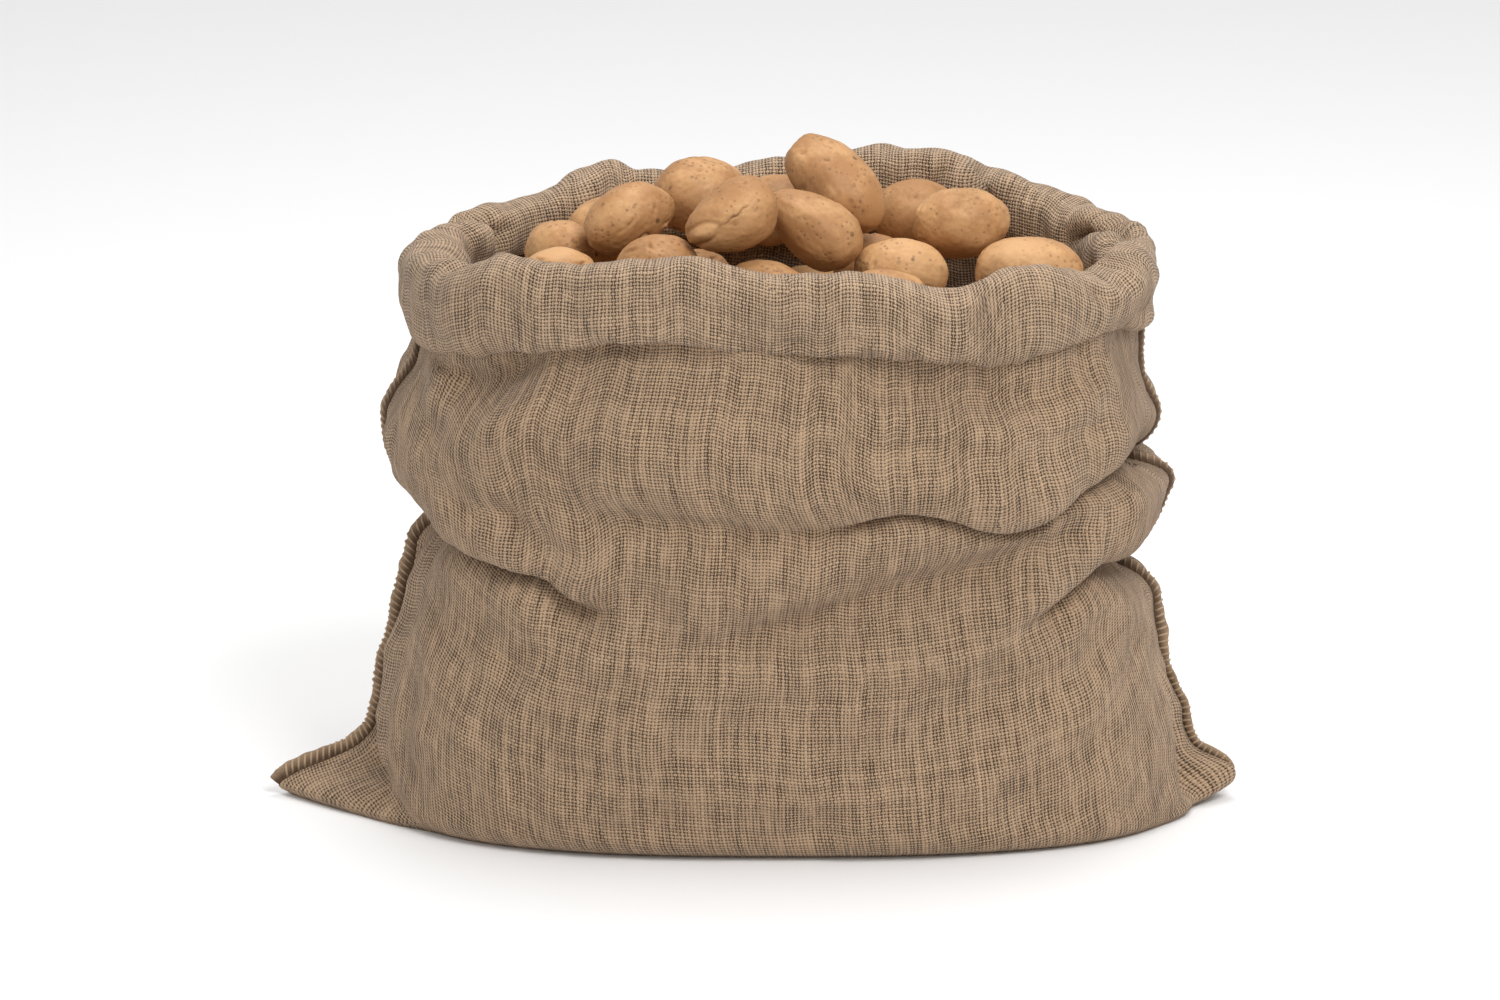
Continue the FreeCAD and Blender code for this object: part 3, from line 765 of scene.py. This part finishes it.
    def fold(self, grid: Numbers) -> Numbers:
        """Adds folds, ears and unevenness to the plain sack."""
        height = grid[..., 2].copy()
        place = np.broadcast_to(self.round_places(), height.shape)
        from_back = (place + self.cloth_round) % self.cloth_round - self.cloth_round / 2
        moves = np.zeros((3, *height.shape))
        for fold, where in [(f, place) for f in self.folds] + [(f, from_back) for f in self.back_folds]:
            moves += fold.pull(where, height)
        away = self.outward(grid)
        aside = np.stack([-away[..., 1], away[..., 0], np.zeros(height.shape)], -1)
        steady = ease(height / self.still)
        moves[0] += steady * (2.0 * ripples(grid, 105.0, 5) + 1.1 * ripples(grid, 44.0, 6)
                              + 0.35 * ripples(grid, 17.0, 7))
        folded = grid + away * moves[0][..., None] + aside * moves[1][..., None]
        lift = ease((height - self.lift_start) / (self.neck - self.lift_start))
        folded[..., 2] += moves[2] + lift * (smooth(self.neck_height, place) - self.neck)
        for ear in self.ears:
            folded[..., 0] += ear.pull(grid, height)
        return folded

    def base_rows(self, lowest: Numbers) -> Numbers:
        """Rows under the sack, from the fold line in the middle out to the foot."""
        share = np.linspace(0.0, 1.0, self.base_count, endpoint=False)[:, None]
        rows = np.repeat(lowest[None], self.base_count, axis=0)
        rows[..., 1] *= share
        rows[..., 2] = self.base_lift + (lowest[None, :, 2] - self.base_lift) * share**4
        return rows

    def tuck_rows(self, top: Numbers, outward: Numbers) -> Numbers:
        """Rows that run up and in under the cuff, where the cloth turns up into its inner side."""
        share = np.linspace(0, 1, self.tuck_count + 1)[1:, None, None]
        rows = top[None] - outward[None] * self.tuck_in * ease(share)
        climb = np.maximum(self.neck + self.tuck_up - top[None, :, 2], self.tuck_up)
        rows[..., 2] += climb * np.sqrt(share[..., 0])
        return rows

    def build(self, material: Any) -> Any:
        """Makes the cloth.

        Args:
            material: Hessian material.

        Returns:
            The object.
        """
        rows = np.concatenate([np.linspace(0, self.foot, self.foot_count),
                               np.arange(self.foot + self.row_step, self.neck, self.row_step)])
        plain = self.places(rows)
        folded = self.fold(plain)
        top = self.tuck_rows(folded[-1], self.outward(folded)[-1])
        grid = np.concatenate([self.base_rows(folded[0]), folded, top])
        run = add_up(np.linalg.norm(np.diff(grid, axis=0), axis=-1))
        wall = grid[self.base_count:]
        self.edge_columns = {-1: wall[:, self.columns // 2], 1: wall[:, 0]}
        piece = cloth_piece("sack_cloth", grid, run, self.cloth_round, material, self.thickness)
        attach(piece, "root")
        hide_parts("sack_body", "corner_ear_left", "corner_ear_right")
        LOG.info("sack cloth: %d faces, run %.0f mm", len(piece.data.polygons), run[-1].mean())
        return piece


@dataclass
class CuffCloth:
    """The mouth of the cloth, rolled outwards into a thick cuff.

    Attributes:
        sack: The cloth below it.
        turns: Number of turns of the roll.
        steps: Grid rows along the roll.
        slack: How much smaller each turn is, all round.
        squareness: Power of the rounded section, 2 being an ellipse.
        overhang: How far the outer face stands out over the neck.
        girth: Length once round the section, on which the folds are placed.
        first_angle: Where the cloth enters the section, in degrees, at its lower inner corner.
        run_start: Length of cloth below the cuff, so that the weave runs on.
        dip: How far the roll's lowest line reaches below the neck's edge.
        folds: (distance round the mouth, distance round the section) lines pressed into the roll.
        thickness: (place round, size from inside to outside) pairs.
        top: (place round, height of the upper edge) pairs.
    """

    sack: SackCloth
    turns: float = 2.6
    steps: int = 118
    slack: float = 4.6
    squareness: float = 2.5
    overhang: float = 14.0
    girth: float = 150.0
    first_angle: float = -135.0
    run_start: float = 560.0
    dip: float = 1.0
    folds: Sequence[Fold] = field(default_factory=lambda: (
        Fold(((-262, 66, 0), (-250, 50, 0.9), (-240, 34, 1), (-236, 12, 0)), 6, 7, 3, 2, 2),
        Fold(((-242, 72, 0), (-228, 61, 1), (-221, 48, 0.8), (-217, 34, 0)), 4, 8, 2, 0, 2),
        Fold(((-370, 68, 0), (-384, 52, 0.8), (-396, 34, 1), (-392, 8, 0)), 9, 9, 5, 4, 3),
        Fold(((-522, 60, 0), (-508, 45, 0.9), (-500, 28, 1), (-494, 6, 0)), 8, 12, 4, 2, 2),
        Fold(((478, 66, 0), (470, 50, 0.9), (466, 32, 1), (462, 6, 0)), 9, 8, 5, 2, 3),
        Fold(((528, 8, 0), (506, 26, 0.8), (488, 44, 0.8), (476, 58, 0)), 5, 9, 3, 2, 2),
        Fold(((400, 6, 0), (380, 24, 1), (356, 42, 1), (330, 54, 0.9), (304, 62, 0)), 10, 8, 5, 3, 3),
        Fold(((320, 60, 0), (300, 49, 0.9), (276, 37, 1), (252, 28, 1), (238, 12, 0)), 9, 7, 4, 2, 3),
        Fold(((156, 56, 0), (164, 72, 0.8), (172, 92, 0.6), (178, 110, 0)), 2, 6, 1, 0, 1),
        Fold(((-300, 80, 0), (-270, 96, 0.8), (-232, 104, 0.8), (-200, 100, 0)), 3, 13, 2, 0, 2),
        Fold(((210, 118, 0), (246, 106, 0.9), (290, 98, 0.9), (330, 96, 0)), 4, 10, 2, 0, 2),
        Fold(((-80, 112, 0), (-20, 104, 0.8), (50, 108, 0)), 1.8, 14, 1, 0, 1),
    ))
    thickness: Pairs = ((-610, 34), (-305, 40), (-200, 36), (0, 33), (110, 36), (200, 37), (305, 40),
                        (610, 34))
    top: Pairs = ((-610, 381), (-560, 374), (-520, 376), (-490, 378), (-470, 373), (-448, 366), (-420, 359),
                  (-398, 358), (-340, 360), (-305, 361), (-262, 363), (-215, 366), (-190, 375), (-160, 376),
                  (-110, 377), (-75, 380), (-52, 383), (-30, 380), (-12, 376), (42, 372), (85, 368),
                  (106, 364), (126, 364), (140, 370), (158, 373), (195, 367), (235, 358), (270, 362),
                  (305, 364), (350, 361), (400, 364), (450, 377),
                  (500, 386), (550, 391), (580, 387), (610, 381))

    def build(self, material: Any) -> Any:
        """Makes the cuff.

        Args:
            material: Hessian material.

        Returns:
            The object.
        """
        sack = self.sack
        middle = sack.places(np.array([sack.neck]))[0]
        away = sack.outward(middle[None])[0]
        place = sack.round_places()
        thick = smooth(self.thickness, place)
        low = smooth(sack.neck_height, place) - self.dip
        high = smooth(self.top, place)
        line = middle + away * (self.overhang - thick / 2)[:, None]
        angle = np.linspace(0, 1, self.steps) * self.turns * 2 * math.pi
        turn = math.radians(self.first_angle) - angle
        shrink = self.slack * angle / (2 * math.pi)
        power = 2.0 / self.squareness
        cosine = np.sign(np.cos(turn)) * np.abs(np.cos(turn)) ** power
        sine = np.sign(np.sin(turn)) * np.abs(np.sin(turn)) ** power
        half_wide = thick[None] / 2 - shrink[:, None]
        half_tall = (high - low)[None] / 2 - shrink[:, None]
        grid = np.repeat(line[None], self.steps, axis=0)
        grid[..., 2] = (high + low)[None] / 2
        # The added height lets the unevenness change round the section and from turn to turn.
        uneven = 1.8 * ripples(grid + np.stack([0 * turn, 0 * turn, 30 * turn], -1)[:, None], 75.0, 21)
        uneven += 0.7 * ripples(grid + np.stack([0 * turn, 0 * turn, 24 * turn], -1)[:, None], 26.0, 22)
        pleats = self.pleats(place)[None] * np.clip(-np.cos(turn), 0, 1)[:, None]
        reach = half_wide * cosine[:, None] + (uneven - pleats) * np.cos(turn)[:, None]
        grid += away[None] * reach[..., None]
        grid[..., 2] += half_tall * sine[:, None] + uneven * np.sin(turn)[:, None] * 0.8
        self.fold(grid, place, angle % (2 * math.pi) / (2 * math.pi) * self.girth)
        run = self.run_start + add_up(np.linalg.norm(np.diff(grid, axis=0), axis=-1))
        piece = cloth_piece("cuff_cloth", grid, run, sack.cloth_round, material, sack.thickness)
        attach(piece, "root")
        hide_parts("rolled_cuff")
        LOG.info("cuff cloth: %d faces, run %.0f mm", len(piece.data.polygons), (run[-1] - run[0]).mean())
        return piece

    def fold(self, grid: Numbers, place: Numbers, around: Numbers) -> None:
        """Presses the folds into every turn of the roll.

        Args:
            grid: Turns by columns of places; it is changed.
            place: Distance round the mouth of each column.
            around: Distance round the section of each row, from its lower inner corner.
        """
        across = direction(np.roll(grid, -1, axis=1) - np.roll(grid, 1, axis=1))
        along = direction(np.gradient(grid, axis=0))
        outward = np.cross(along, across)
        shape = grid.shape[:2]
        where = (np.broadcast_to(place[None], shape), np.broadcast_to(around[:, None], shape))
        moves = np.zeros((3, *shape))
        for fold in self.folds:
            moves += fold.pull(*where)
        grid += outward * moves[0][..., None] + across * moves[1][..., None] + along * moves[2][..., None]

    @staticmethod
    def pleats(place: Numbers) -> Numbers:
        """Gathers on the inner side of the cuff near its two ends, in millimetres."""
        near_end = bump(np.abs(place) - 285.0, 75.0)
        return 2.5 * near_end * np.sin(place / 11.0 + 1.4 * np.sin(place / 31.0))


# ------------------------------------------------------------------ seams

@dataclass
class SideSeam:
    """The sewn edge of the cloth at one end of the sack: a folded fin with overlock stitches round it.

    Attributes:
        sack: The cloth that it is sewn on.
        sign: -1 on the left, 1 on the right.
        lean: (height, how far the fin lies over to the back) pairs.
        width: Size across the fin.
        thick: Its thickness.
        sunk: How far the fin reaches into the cloth's edge.
        spacing: From one ring of the fin to the next.
        hidden_end: Length of edge under the cuff that has no fin.
        ear_rows: Rows in which the ear's tip is looked for.
        stitch_pitch: From one stitch to the next.
        stitch_steps: Points of thread in each stitch.
        thread: Radius of the thread.
    """

    sack: SackCloth
    sign: int
    lean: Pairs
    width: float = 9.5
    thick: float = 4.0
    sunk: float = 2.5
    spacing: float = 1.5
    hidden_end: float = 34.0
    ear_rows: int = 40
    stitch_pitch: float = 4.2
    stitch_steps: int = 20
    thread: float = 0.7

    def path(self) -> Numbers:
        """Evenly spaced places along the cloth's edge, from the ear's tip up to the cuff."""
        line = self.sack.edge_columns[self.sign]
        tip = int(np.argmax(line[:self.ear_rows, 0] * self.sign))
        line = line[tip:]
        length = add_up(np.linalg.norm(np.diff(line, axis=0), axis=1))
        even = np.arange(0, length[-1] - self.hidden_end, self.spacing)
        return np.stack([np.interp(even, length, line[:, k]) for k in range(3)], -1)

    def frames(self, path: Numbers) -> tuple[Numbers, Numbers]:
        """Directions across the fin: away from the cloth, and along its thickness."""
        step = direction(np.gradient(path, axis=0))
        away = np.cross(step, (0.0, 1.0, 0.0)) * -self.sign
        away[away[:, 0] * self.sign + away[:, 2] * 0.2 < 0] *= -1
        # A running mean over nine rings, so that the fin doesn't twist at the folds.
        window = np.ones(9) / 9
        away = np.stack([np.convolve(np.pad(away[:, k], 4, mode="edge"), window, "valid")
                         for k in range(3)], -1)
        away[:, 1] += smooth(self.lean, path[:, 2])
        away = direction(away)
        return away, direction(np.cross(away, step))

    def build(self, thread: Any) -> None:
        """Makes the fin and its stitches.

        Args:
            thread: Material of both.
        """
        side = "left" if self.sign < 0 else "right"
        path = self.path()
        away, aside = self.frames(path)
        corners = np.linspace(0, 2 * math.pi, 14, endpoint=False)
        taper = np.clip(np.minimum(np.arange(len(path)), np.arange(len(path))[::-1]) / 3.0, 0.6, 1.0)
        uneven = 1 + 0.10 * ripples(path, 14.0, 31)
        wide = (self.width / 2 * np.sqrt(taper) * uneven)[:, None]
        deep = (self.thick / 2 * np.sqrt(taper))[:, None]
        centre = path + away * (self.width / 2 - self.sunk)
        ring = (centre[:, None] + away[:, None] * (wide * np.cos(corners))[..., None]
                + aside[:, None] * (deep * np.sin(corners))[..., None])
        ring[..., 2] = np.maximum(ring[..., 2], 0.4)
        fin = mesh_piece(f"seam_edge_{side}", self.capped(ring) * MM, self.capped_faces(ring.shape), thread)
        # Painted light and shade on the fin: light on its outer edge, dark on the flanks next to the cloth;
        # the end caps get a middle value.
        rim_painted_light = np.tile(0.12 + 0.45 * ease(0.4 + 0.6 * np.cos(corners)), len(path))
        store(fin, "rim_painted_light", np.append(rim_painted_light, [0.3, 0.3]))
        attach(fin, "root")
        points, faces, rim_painted_light = self.stitches(away, aside, centre)
        loops = mesh_piece(f"seam_stitches_{side}", points * MM, faces, thread)
        store(loops, "rim_painted_light", rim_painted_light)
        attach(loops, "root")
        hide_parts(f"side_seam_{side}")
        LOG.info("seam %s: %d rings, %d points of thread", side, len(path), len(points))

    @staticmethod
    def capped(ring: Numbers) -> Numbers:
        """Ring points with a point added at each end."""
        return np.concatenate([ring.reshape(-1, 3), ring[0].mean(axis=0)[None], ring[-1].mean(axis=0)[None]])

    @staticmethod
    def capped_faces(shape: tuple[int, ...]) -> Numbers:
        """Faces of a closed tube: quads along it, and fans of thin quads at the ends."""
        rows, columns = shape[:2]
        pairs = np.arange(0, columns, 2)
        centre = np.full(len(pairs), rows * columns)
        fan = np.stack([pairs, pairs + 1, (pairs + 2) % columns], -1)
        near = np.column_stack([centre, fan[:, ::-1]])
        far = np.column_stack([centre + 1, fan + (rows - 1) * columns])
        return np.concatenate([tube_faces(rows, columns), near, far])

    def stitches(self, away: Numbers, aside: Numbers, centre: Numbers) -> tuple[Numbers, Numbers, Numbers]:
        """Thread that winds round the fin, one loop for each stitch.

        Args:
            away: Direction away from the cloth at each ring.
            aside: Direction of the fin's thickness at each ring.
            centre: Middle of the fin at each ring.

        Returns:
            Points and faces of one closed tube, and the painted light of each point.
        """
        bare = 4
        rings = np.arange(len(centre))
        turns = (len(rings) - 2 * bare) * self.spacing / self.stitch_pitch
        wound = np.arange(int(turns * self.stitch_steps)) / self.stitch_steps
        phase = wound * 2 * math.pi
        slant = 0.9 * np.cos(phase)
        index = np.clip(bare + wound * self.stitch_pitch / self.spacing + slant, 0, rings[-1])

        def read(values: Numbers) -> Numbers:
            """Values at the thread's own places."""
            return np.stack([np.interp(index, rings, values[:, k]) for k in range(3)], -1)

        wide = self.width / 2 - 0.15
        deep = self.thick / 2 + 0.1
        line = (read(centre) + read(away) * (wide * np.cos(phase))[:, None]
                + read(aside) * (deep * np.sin(phase))[:, None])
        line[:, 2] = np.maximum(line[:, 2], self.thread + 0.1)
        step = direction(np.gradient(line, axis=0))
        out = line - read(centre)
        out = direction(out - step * (out * step).sum(axis=1, keepdims=True))
        side = np.cross(step, out)
        corners = np.linspace(0, 2 * math.pi, 6, endpoint=False)
        ring = (line[:, None] + self.thread * (out[:, None] * np.cos(corners)[None, :, None]
                                               + side[:, None] * np.sin(corners)[None, :, None]))
        # Painted light and shade on the thread: light where it crosses the fin's outer edge, dark on the
        # flanks.
        rim_painted_light = np.append(np.repeat(ease(0.62 + 0.5 * np.cos(phase)), len(corners)), [0.5, 0.5])
        return self.capped(ring), self.capped_faces(ring.shape), rim_painted_light


# ------------------------------------------------------------------ potatoes

class Mark(Enum):
    """Shapes that set one potato apart."""

    PLAIN = "plain"
    KIDNEY = "kidney"
    SPROUTED = "sprouted"


@dataclass
class Potato:
    """One potato of the heap, grown on the ellipsoid that the frame gives it.

    Attributes:
        node: Name of its frame node.
        seed: Number that fixes its lumps and eyes.
        mark: What sets it apart.
        taper: How much thinner one end is.
        bend: How far it is bent.
        scar: Direction of its crack, knob or sprout from its middle.
        tint: Shade of its skin from 0, pale, to 1, warm; a chance one where it is None.
        fit: Share of the frame's ellipsoid that the lumpy skin fills, taken once more along its length.
    """

    node: str
    seed: int
    mark: Mark = Mark.PLAIN
    taper: float = 0.0
    bend: float = 0.0
    scar: tuple[float, float, float] = (0.0, -1.0, 0.0)
    tint: Optional[float] = None
    fit: float = 0.985

    def ellipsoid(self) -> tuple[Numbers, Numbers, Numbers]:
        """Middle, half lengths and axes of the frame's solid, from its volume."""
        points, index = read_mesh(frame["nodes"][self.node].data)
        centre = points.mean(axis=0)
        corner = (points - centre)[index]
        # Volume, middle and second moments, summed over the pyramids from the centre to each triangle.
        size = np.einsum("ij,ij->i", corner[:, 0], np.cross(corner[:, 1], corner[:, 2]))
        total = corner.sum(axis=1)
        volume = size.sum() / 6
        middle = (size[:, None] * total).sum(axis=0) / 24 / volume
        second = (np.einsum("i,ij,ik->jk", size, total, total)
                  + np.einsum("i,inj,ink->jk", size, corner, corner)) / 120 / volume
        second -= np.outer(middle, middle)
        spread, axes = np.linalg.eigh(second)
        order = np.argsort(spread)[::-1]
        axes = axes[:, order]
        for k in range(2):
            if axes[np.argmax(np.abs(axes[:, k])), k] < 0:
                axes[:, k] *= -1
        if axes[0, 0] < 0:
            axes[:, 0] *= -1
        axes[:, 2] = np.cross(axes[:, 0], axes[:, 1])
        return centre + middle, np.sqrt(5 * spread[order]), axes

    def build(self, ball: tuple[Numbers, Numbers], material: Any, body: str) -> Any:
        """Makes the potato.

        Args:
            ball: Points and faces of a fine unit ball.
            material: Skin material.
            body: Body that it rides on.

        Returns:
            The object.
        """
        unit, faces = ball
        dice = np.random.default_rng(self.seed)
        middle, half, axes = self.ellipsoid()
        radius = 1 + 0.028 * ripples(unit, 2.2, self.seed) + 0.012 * ripples(unit, 0.8, self.seed + 1)
        radius += 0.003 * ripples(unit, 0.22, self.seed + 2)
        dent, dark = self.eyes(unit, dice)
        self.mark_skin(unit, np.array(self.scar) @ axes, dent, dark)
        size = half.mean()
        points = unit * (radius - dent * MM / size)[:, None]
        lengthwise = points[:, 0].copy()
        thin = 1 + self.taper * lengthwise
        points[:, 1] *= thin
        points[:, 2] *= thin
        points[:, 1] += self.bend * (lengthwise**2 - 0.35)
        points[:, 0] *= self.fit
        points = middle + (points * half * self.fit) @ axes.T
        piece = mesh_piece(f"{self.node}_skin", points, faces, material)
        store(piece, "eye", dark)
        chance = dice.uniform(0, 1)
        tint = chance if self.tint is None else self.tint
        store(piece, "tint", np.full(len(unit), tint))
        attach(piece, body)
        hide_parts(self.node)
        LOG.info("%s: %s, rides on %s, tint %.2f", self.node, self.mark.value, body, tint)
        return piece

    def eyes(self, unit: Numbers, dice: Any) -> tuple[Numbers, Numbers]:
        """Eyes and the stem end.

        Args:
            unit: Directions of the ball's points.
            dice: Seeded source of chance.

        Returns:
            How deep each point lies, in millimetres, and how dark it is, from 0 to 1.
        """
        dent, dark = np.zeros(len(unit)), np.zeros(len(unit))
        for _ in range(int(dice.integers(7, 12))):
            way = direction(dice.normal(size=3) * (0.8, 1.0, 1.0))
            across = direction(np.cross(way, dice.normal(size=3)))
            up = np.cross(way, across)
            x, y = unit @ across, unit @ up
            facing = unit @ way > 0
            long_place, wide_place = x / 0.12, y / 0.055
            pit = np.exp(-(long_place**2) - wide_place**2) * facing
            brow = np.exp(-((x / 0.17) ** 2) - ((y - 0.10 - 0.9 * x * x) / 0.05) ** 2) * facing
            deep = dice.uniform(0.7, 1.6)
            dent += deep * pit - 0.45 * deep * brow
            dark += dice.uniform(0.35, 0.9) * np.exp(-((x / 0.07) ** 2) - (y / 0.032) ** 2) * facing
        from_stem = np.arccos(np.clip(-unit[:, 0], -1, 1))
        dent += 1.6 * bump(from_stem, 0.16)
        dark += 0.7 * bump(from_stem, 0.07)
        return dent, dark

    def mark_skin(self, unit: Numbers, way: Numbers, dent: Numbers, dark: Numbers) -> None:
        """Adds the potato's own scar.

        Args:
            unit: Directions of the ball's points.
            way: Direction of the scar along the potato's own axes.
            dent: Depth of each point; it is changed.
            dark: Darkness of each point; it is changed.
        """
        way = direction(way)
        across = direction(np.cross(way, (0.15, 0.2, 1.0)))
        up = np.cross(way, across)
        x, y, facing = unit @ across, unit @ up, unit @ way > 0
        if self.mark is Mark.KIDNEY:
            crack = np.exp(-((y - 0.5 * x + 0.03 * np.sin(x * 22)) / 0.035) ** 2 - (x / 0.34) ** 2) * facing
            dent += 2.2 * crack
            dark += crack
            knob = np.exp(-((x - 0.74) ** 2 + (y - 0.2) ** 2) / 0.05) * facing
            collar = np.exp(-((np.hypot(x - 0.74, y - 0.2) - 0.34) / 0.07) ** 2) * facing
            dent -= 3.2 * knob
            dent += 1.6 * collar
            dark += 0.35 * collar
        if self.mark is Mark.SPROUTED:
            ring = np.exp(-((np.hypot(x, 0.8 * y) - 0.13) / 0.035) ** 2) * facing
            middle = np.exp(-(x**2 + y**2) / 0.006) * facing
            dent += 1.1 * ring - 2.2 * middle
            dark += 0.8 * ring
        np.clip(dark, 0, 1, out=dark)


@dataclass
class Heap:
    """All potatoes of the frame.

    Attributes:
        detail: How often the ball's faces are split.
        draw_in: Share of its size along X, Y and Z at which a buried layer is drawn.
        special: What sets some potatoes apart, by node name.
    """

    detail: int = 6
    draw_in: tuple[float, float, float] = (0.91, 0.93, 0.985)
    special: dict[str, dict[str, Any]] = field(default_factory=lambda: {
        "potato_pear": {"taper": 0.26},
        # The kidney's warm tint darkens its skin, partly as painted shade for the shadow it lies in.
        "potato_kidney": {"mark": Mark.KIDNEY, "bend": 0.10, "taper": 0.2, "scar": (0.1, -0.9, 0.35),
                          "tint": 0.65},
        "potato_sprouted": {"mark": Mark.SPROUTED, "taper": -0.06, "scar": (0.45, -0.75, -0.45)},
        "potato_crown": {"taper": 0.07, "tint": 0.75},
    })

    def ball(self) -> tuple[Numbers, Numbers]:
        """Points and faces of a fine unit ball."""
        shape = bmesh.new()
        bmesh.ops.create_icosphere(shape, subdivisions=self.detail, radius=1.0)
        points = np.array([vertex.co[:] for vertex in shape.verts])
        faces = np.array([[vertex.index for vertex in face.verts] for face in shape.faces])
        shape.free()
        return direction(points), faces

    def build(self, material: Any) -> None:
        """Makes every heap potato and dresses the buried ones.

        Args:
            material: Skin material.
        """
        ball = self.ball()
        riders = frame["record"]["behaviour"]["bodies"]
        bodies = {node: body for body, nodes in riders.items() for node in nodes}
        names = sorted(name for name in frame["nodes"] if name.startswith("potato_"))
        for number, name in enumerate(names):
            Potato(name, 100 + 7 * number, **self.special.get(name, {})).build(ball, material, bodies[name])
        for name in sorted(name for name in frame["nodes"] if name.startswith("buried_layer")):
            self.bury(name, material)
        LOG.info("heap: %d potatoes", len(names))

    def bury(self, name: str, material: Any) -> None:
        """Copies a layer of buried potatoes, drawn in so that the folds of the cloth clear them.

        Args:
            name: Its frame node.
            material: Skin material.
        """
        points, index = read_mesh(frame["nodes"][name].data)
        piece = mesh_piece(f"{name}_skins", points * self.draw_in, index, material)
        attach(piece, "root")
        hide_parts(name)
        LOG.info("%s: %d triangles", name, len(index))


# ------------------------------------------------------------------ studio

@dataclass
class Studio:
    """Pale floor, soft lights and the camera.

    Attributes:
        elevation: Degrees by which the camera looks down.
        distance: From the camera to the point that it looks at.
        view_width: Width of the view at that distance.
        look_across: That point's place along X.
        look_up: Its height in the view, square to the line of sight.
        daylight: Strength of the light from all round.
        floor_half: Half the floor's side.
        aim: Height of the point that every light faces.
        lights: Name, place, size and power of each light.
    """

    elevation: float = 17.5
    distance: float = 5.2
    view_width: float = 0.943
    look_across: float = -0.0195
    look_up: float = 0.185
    daylight: float = 0.64
    floor_half: float = 6.0
    aim: float = 0.2
    lights: Sequence[tuple[str, tuple[float, float, float], float, float]] = (
        ("key", (0.9, -1.5, 2.3), 1.1, 38.0),
        ("fill", (-1.9, -1.5, 1.2), 1.6, 4.0),
        ("top", (0.1, 0.5, 2.3), 1.4, 25.0),
    )

    def camera(self) -> None:
        """Puts up the camera."""
        angle = math.radians(self.elevation)
        forward = Vector((0, math.cos(angle), -math.sin(angle)))
        upward = Vector((0, math.sin(angle), math.cos(angle)))
        data = bpy.data.cameras.new("camera")
        data.sensor_width = 36.0
        data.lens = data.sensor_width * self.distance / self.view_width
        data.clip_end = 50.0
        camera = bpy.data.objects.new("camera", data)
        camera.location = Vector((self.look_across, 0, 0)) + upward * self.look_up - forward * self.distance
        camera.rotation_euler = (math.radians(90 - self.elevation), 0, 0)
        bpy.context.scene.collection.objects.link(camera)
        bpy.context.scene.camera = camera

    def light(self, name: str, place: tuple[float, float, float], size: float, power: float) -> None:
        """Puts up one soft square light that faces the sack."""
        data = bpy.data.lights.new(name, "AREA")
        data.size = size
        data.energy = power
        lamp = bpy.data.objects.new(name, data)
        lamp.location = place
        sight = Vector((0, 0, self.aim)) - Vector(place)
        lamp.rotation_euler = sight.to_track_quat("-Z", "Y").to_euler()
        bpy.context.scene.collection.objects.link(lamp)

    def build(self) -> None:
        """Puts up everything."""
        self.camera()
        corners = [(x * self.floor_half, y * self.floor_half, 0.0)
                   for x, y in ((-1, -1), (1, -1), (1, 1), (-1, 1))]
        mesh = bpy.data.meshes.new("floor")
        mesh.from_pydata(corners, [], [(0, 1, 2, 3)])
        floor = bpy.data.objects.new("floor", mesh)
        floor.data.materials.append(FloorFinish().make())
        bpy.context.scene.collection.objects.link(floor)
        world = bpy.data.worlds.new("studio")
        world.use_nodes = True
        sky = world.node_tree.nodes["Background"].inputs
        sky["Color"].default_value = (1, 1, 1, 1)
        sky["Strength"].default_value = self.daylight
        bpy.context.scene.world = world
        for lamp in self.lights:
            self.light(*lamp)
        bpy.context.scene.view_settings.view_transform = "Standard"


def main() -> None:
    """Builds every piece in order."""
    Studio().build()
    thread, skin = ThreadFinish().make(), SkinFinish().make()
    sack = SackCloth()
    sack.build(HessianFinish().make())
    # The cuff's copy of the hessian has a lighter straw: painted light, for the light on the cuff's upper
    # faces.
    CuffCloth(sack).build(HessianFinish("hessian_cuff_painted_light", straw=(0.51, 0.354, 0.227)).make())
    SideSeam(sack, -1, ((0, 0.1), (60, 0.2), (150, 0.3), (190, 0.7), (230, 1.2), (330, 2.2))).build(thread)
    SideSeam(sack, 1, ((0, -0.2), (40, -0.9), (90, -0.9), (118, 0.5), (150, 1.4), (330, 2.2))).build(thread)
    Heap().build(skin)


if __name__ == "__main__":
    main()
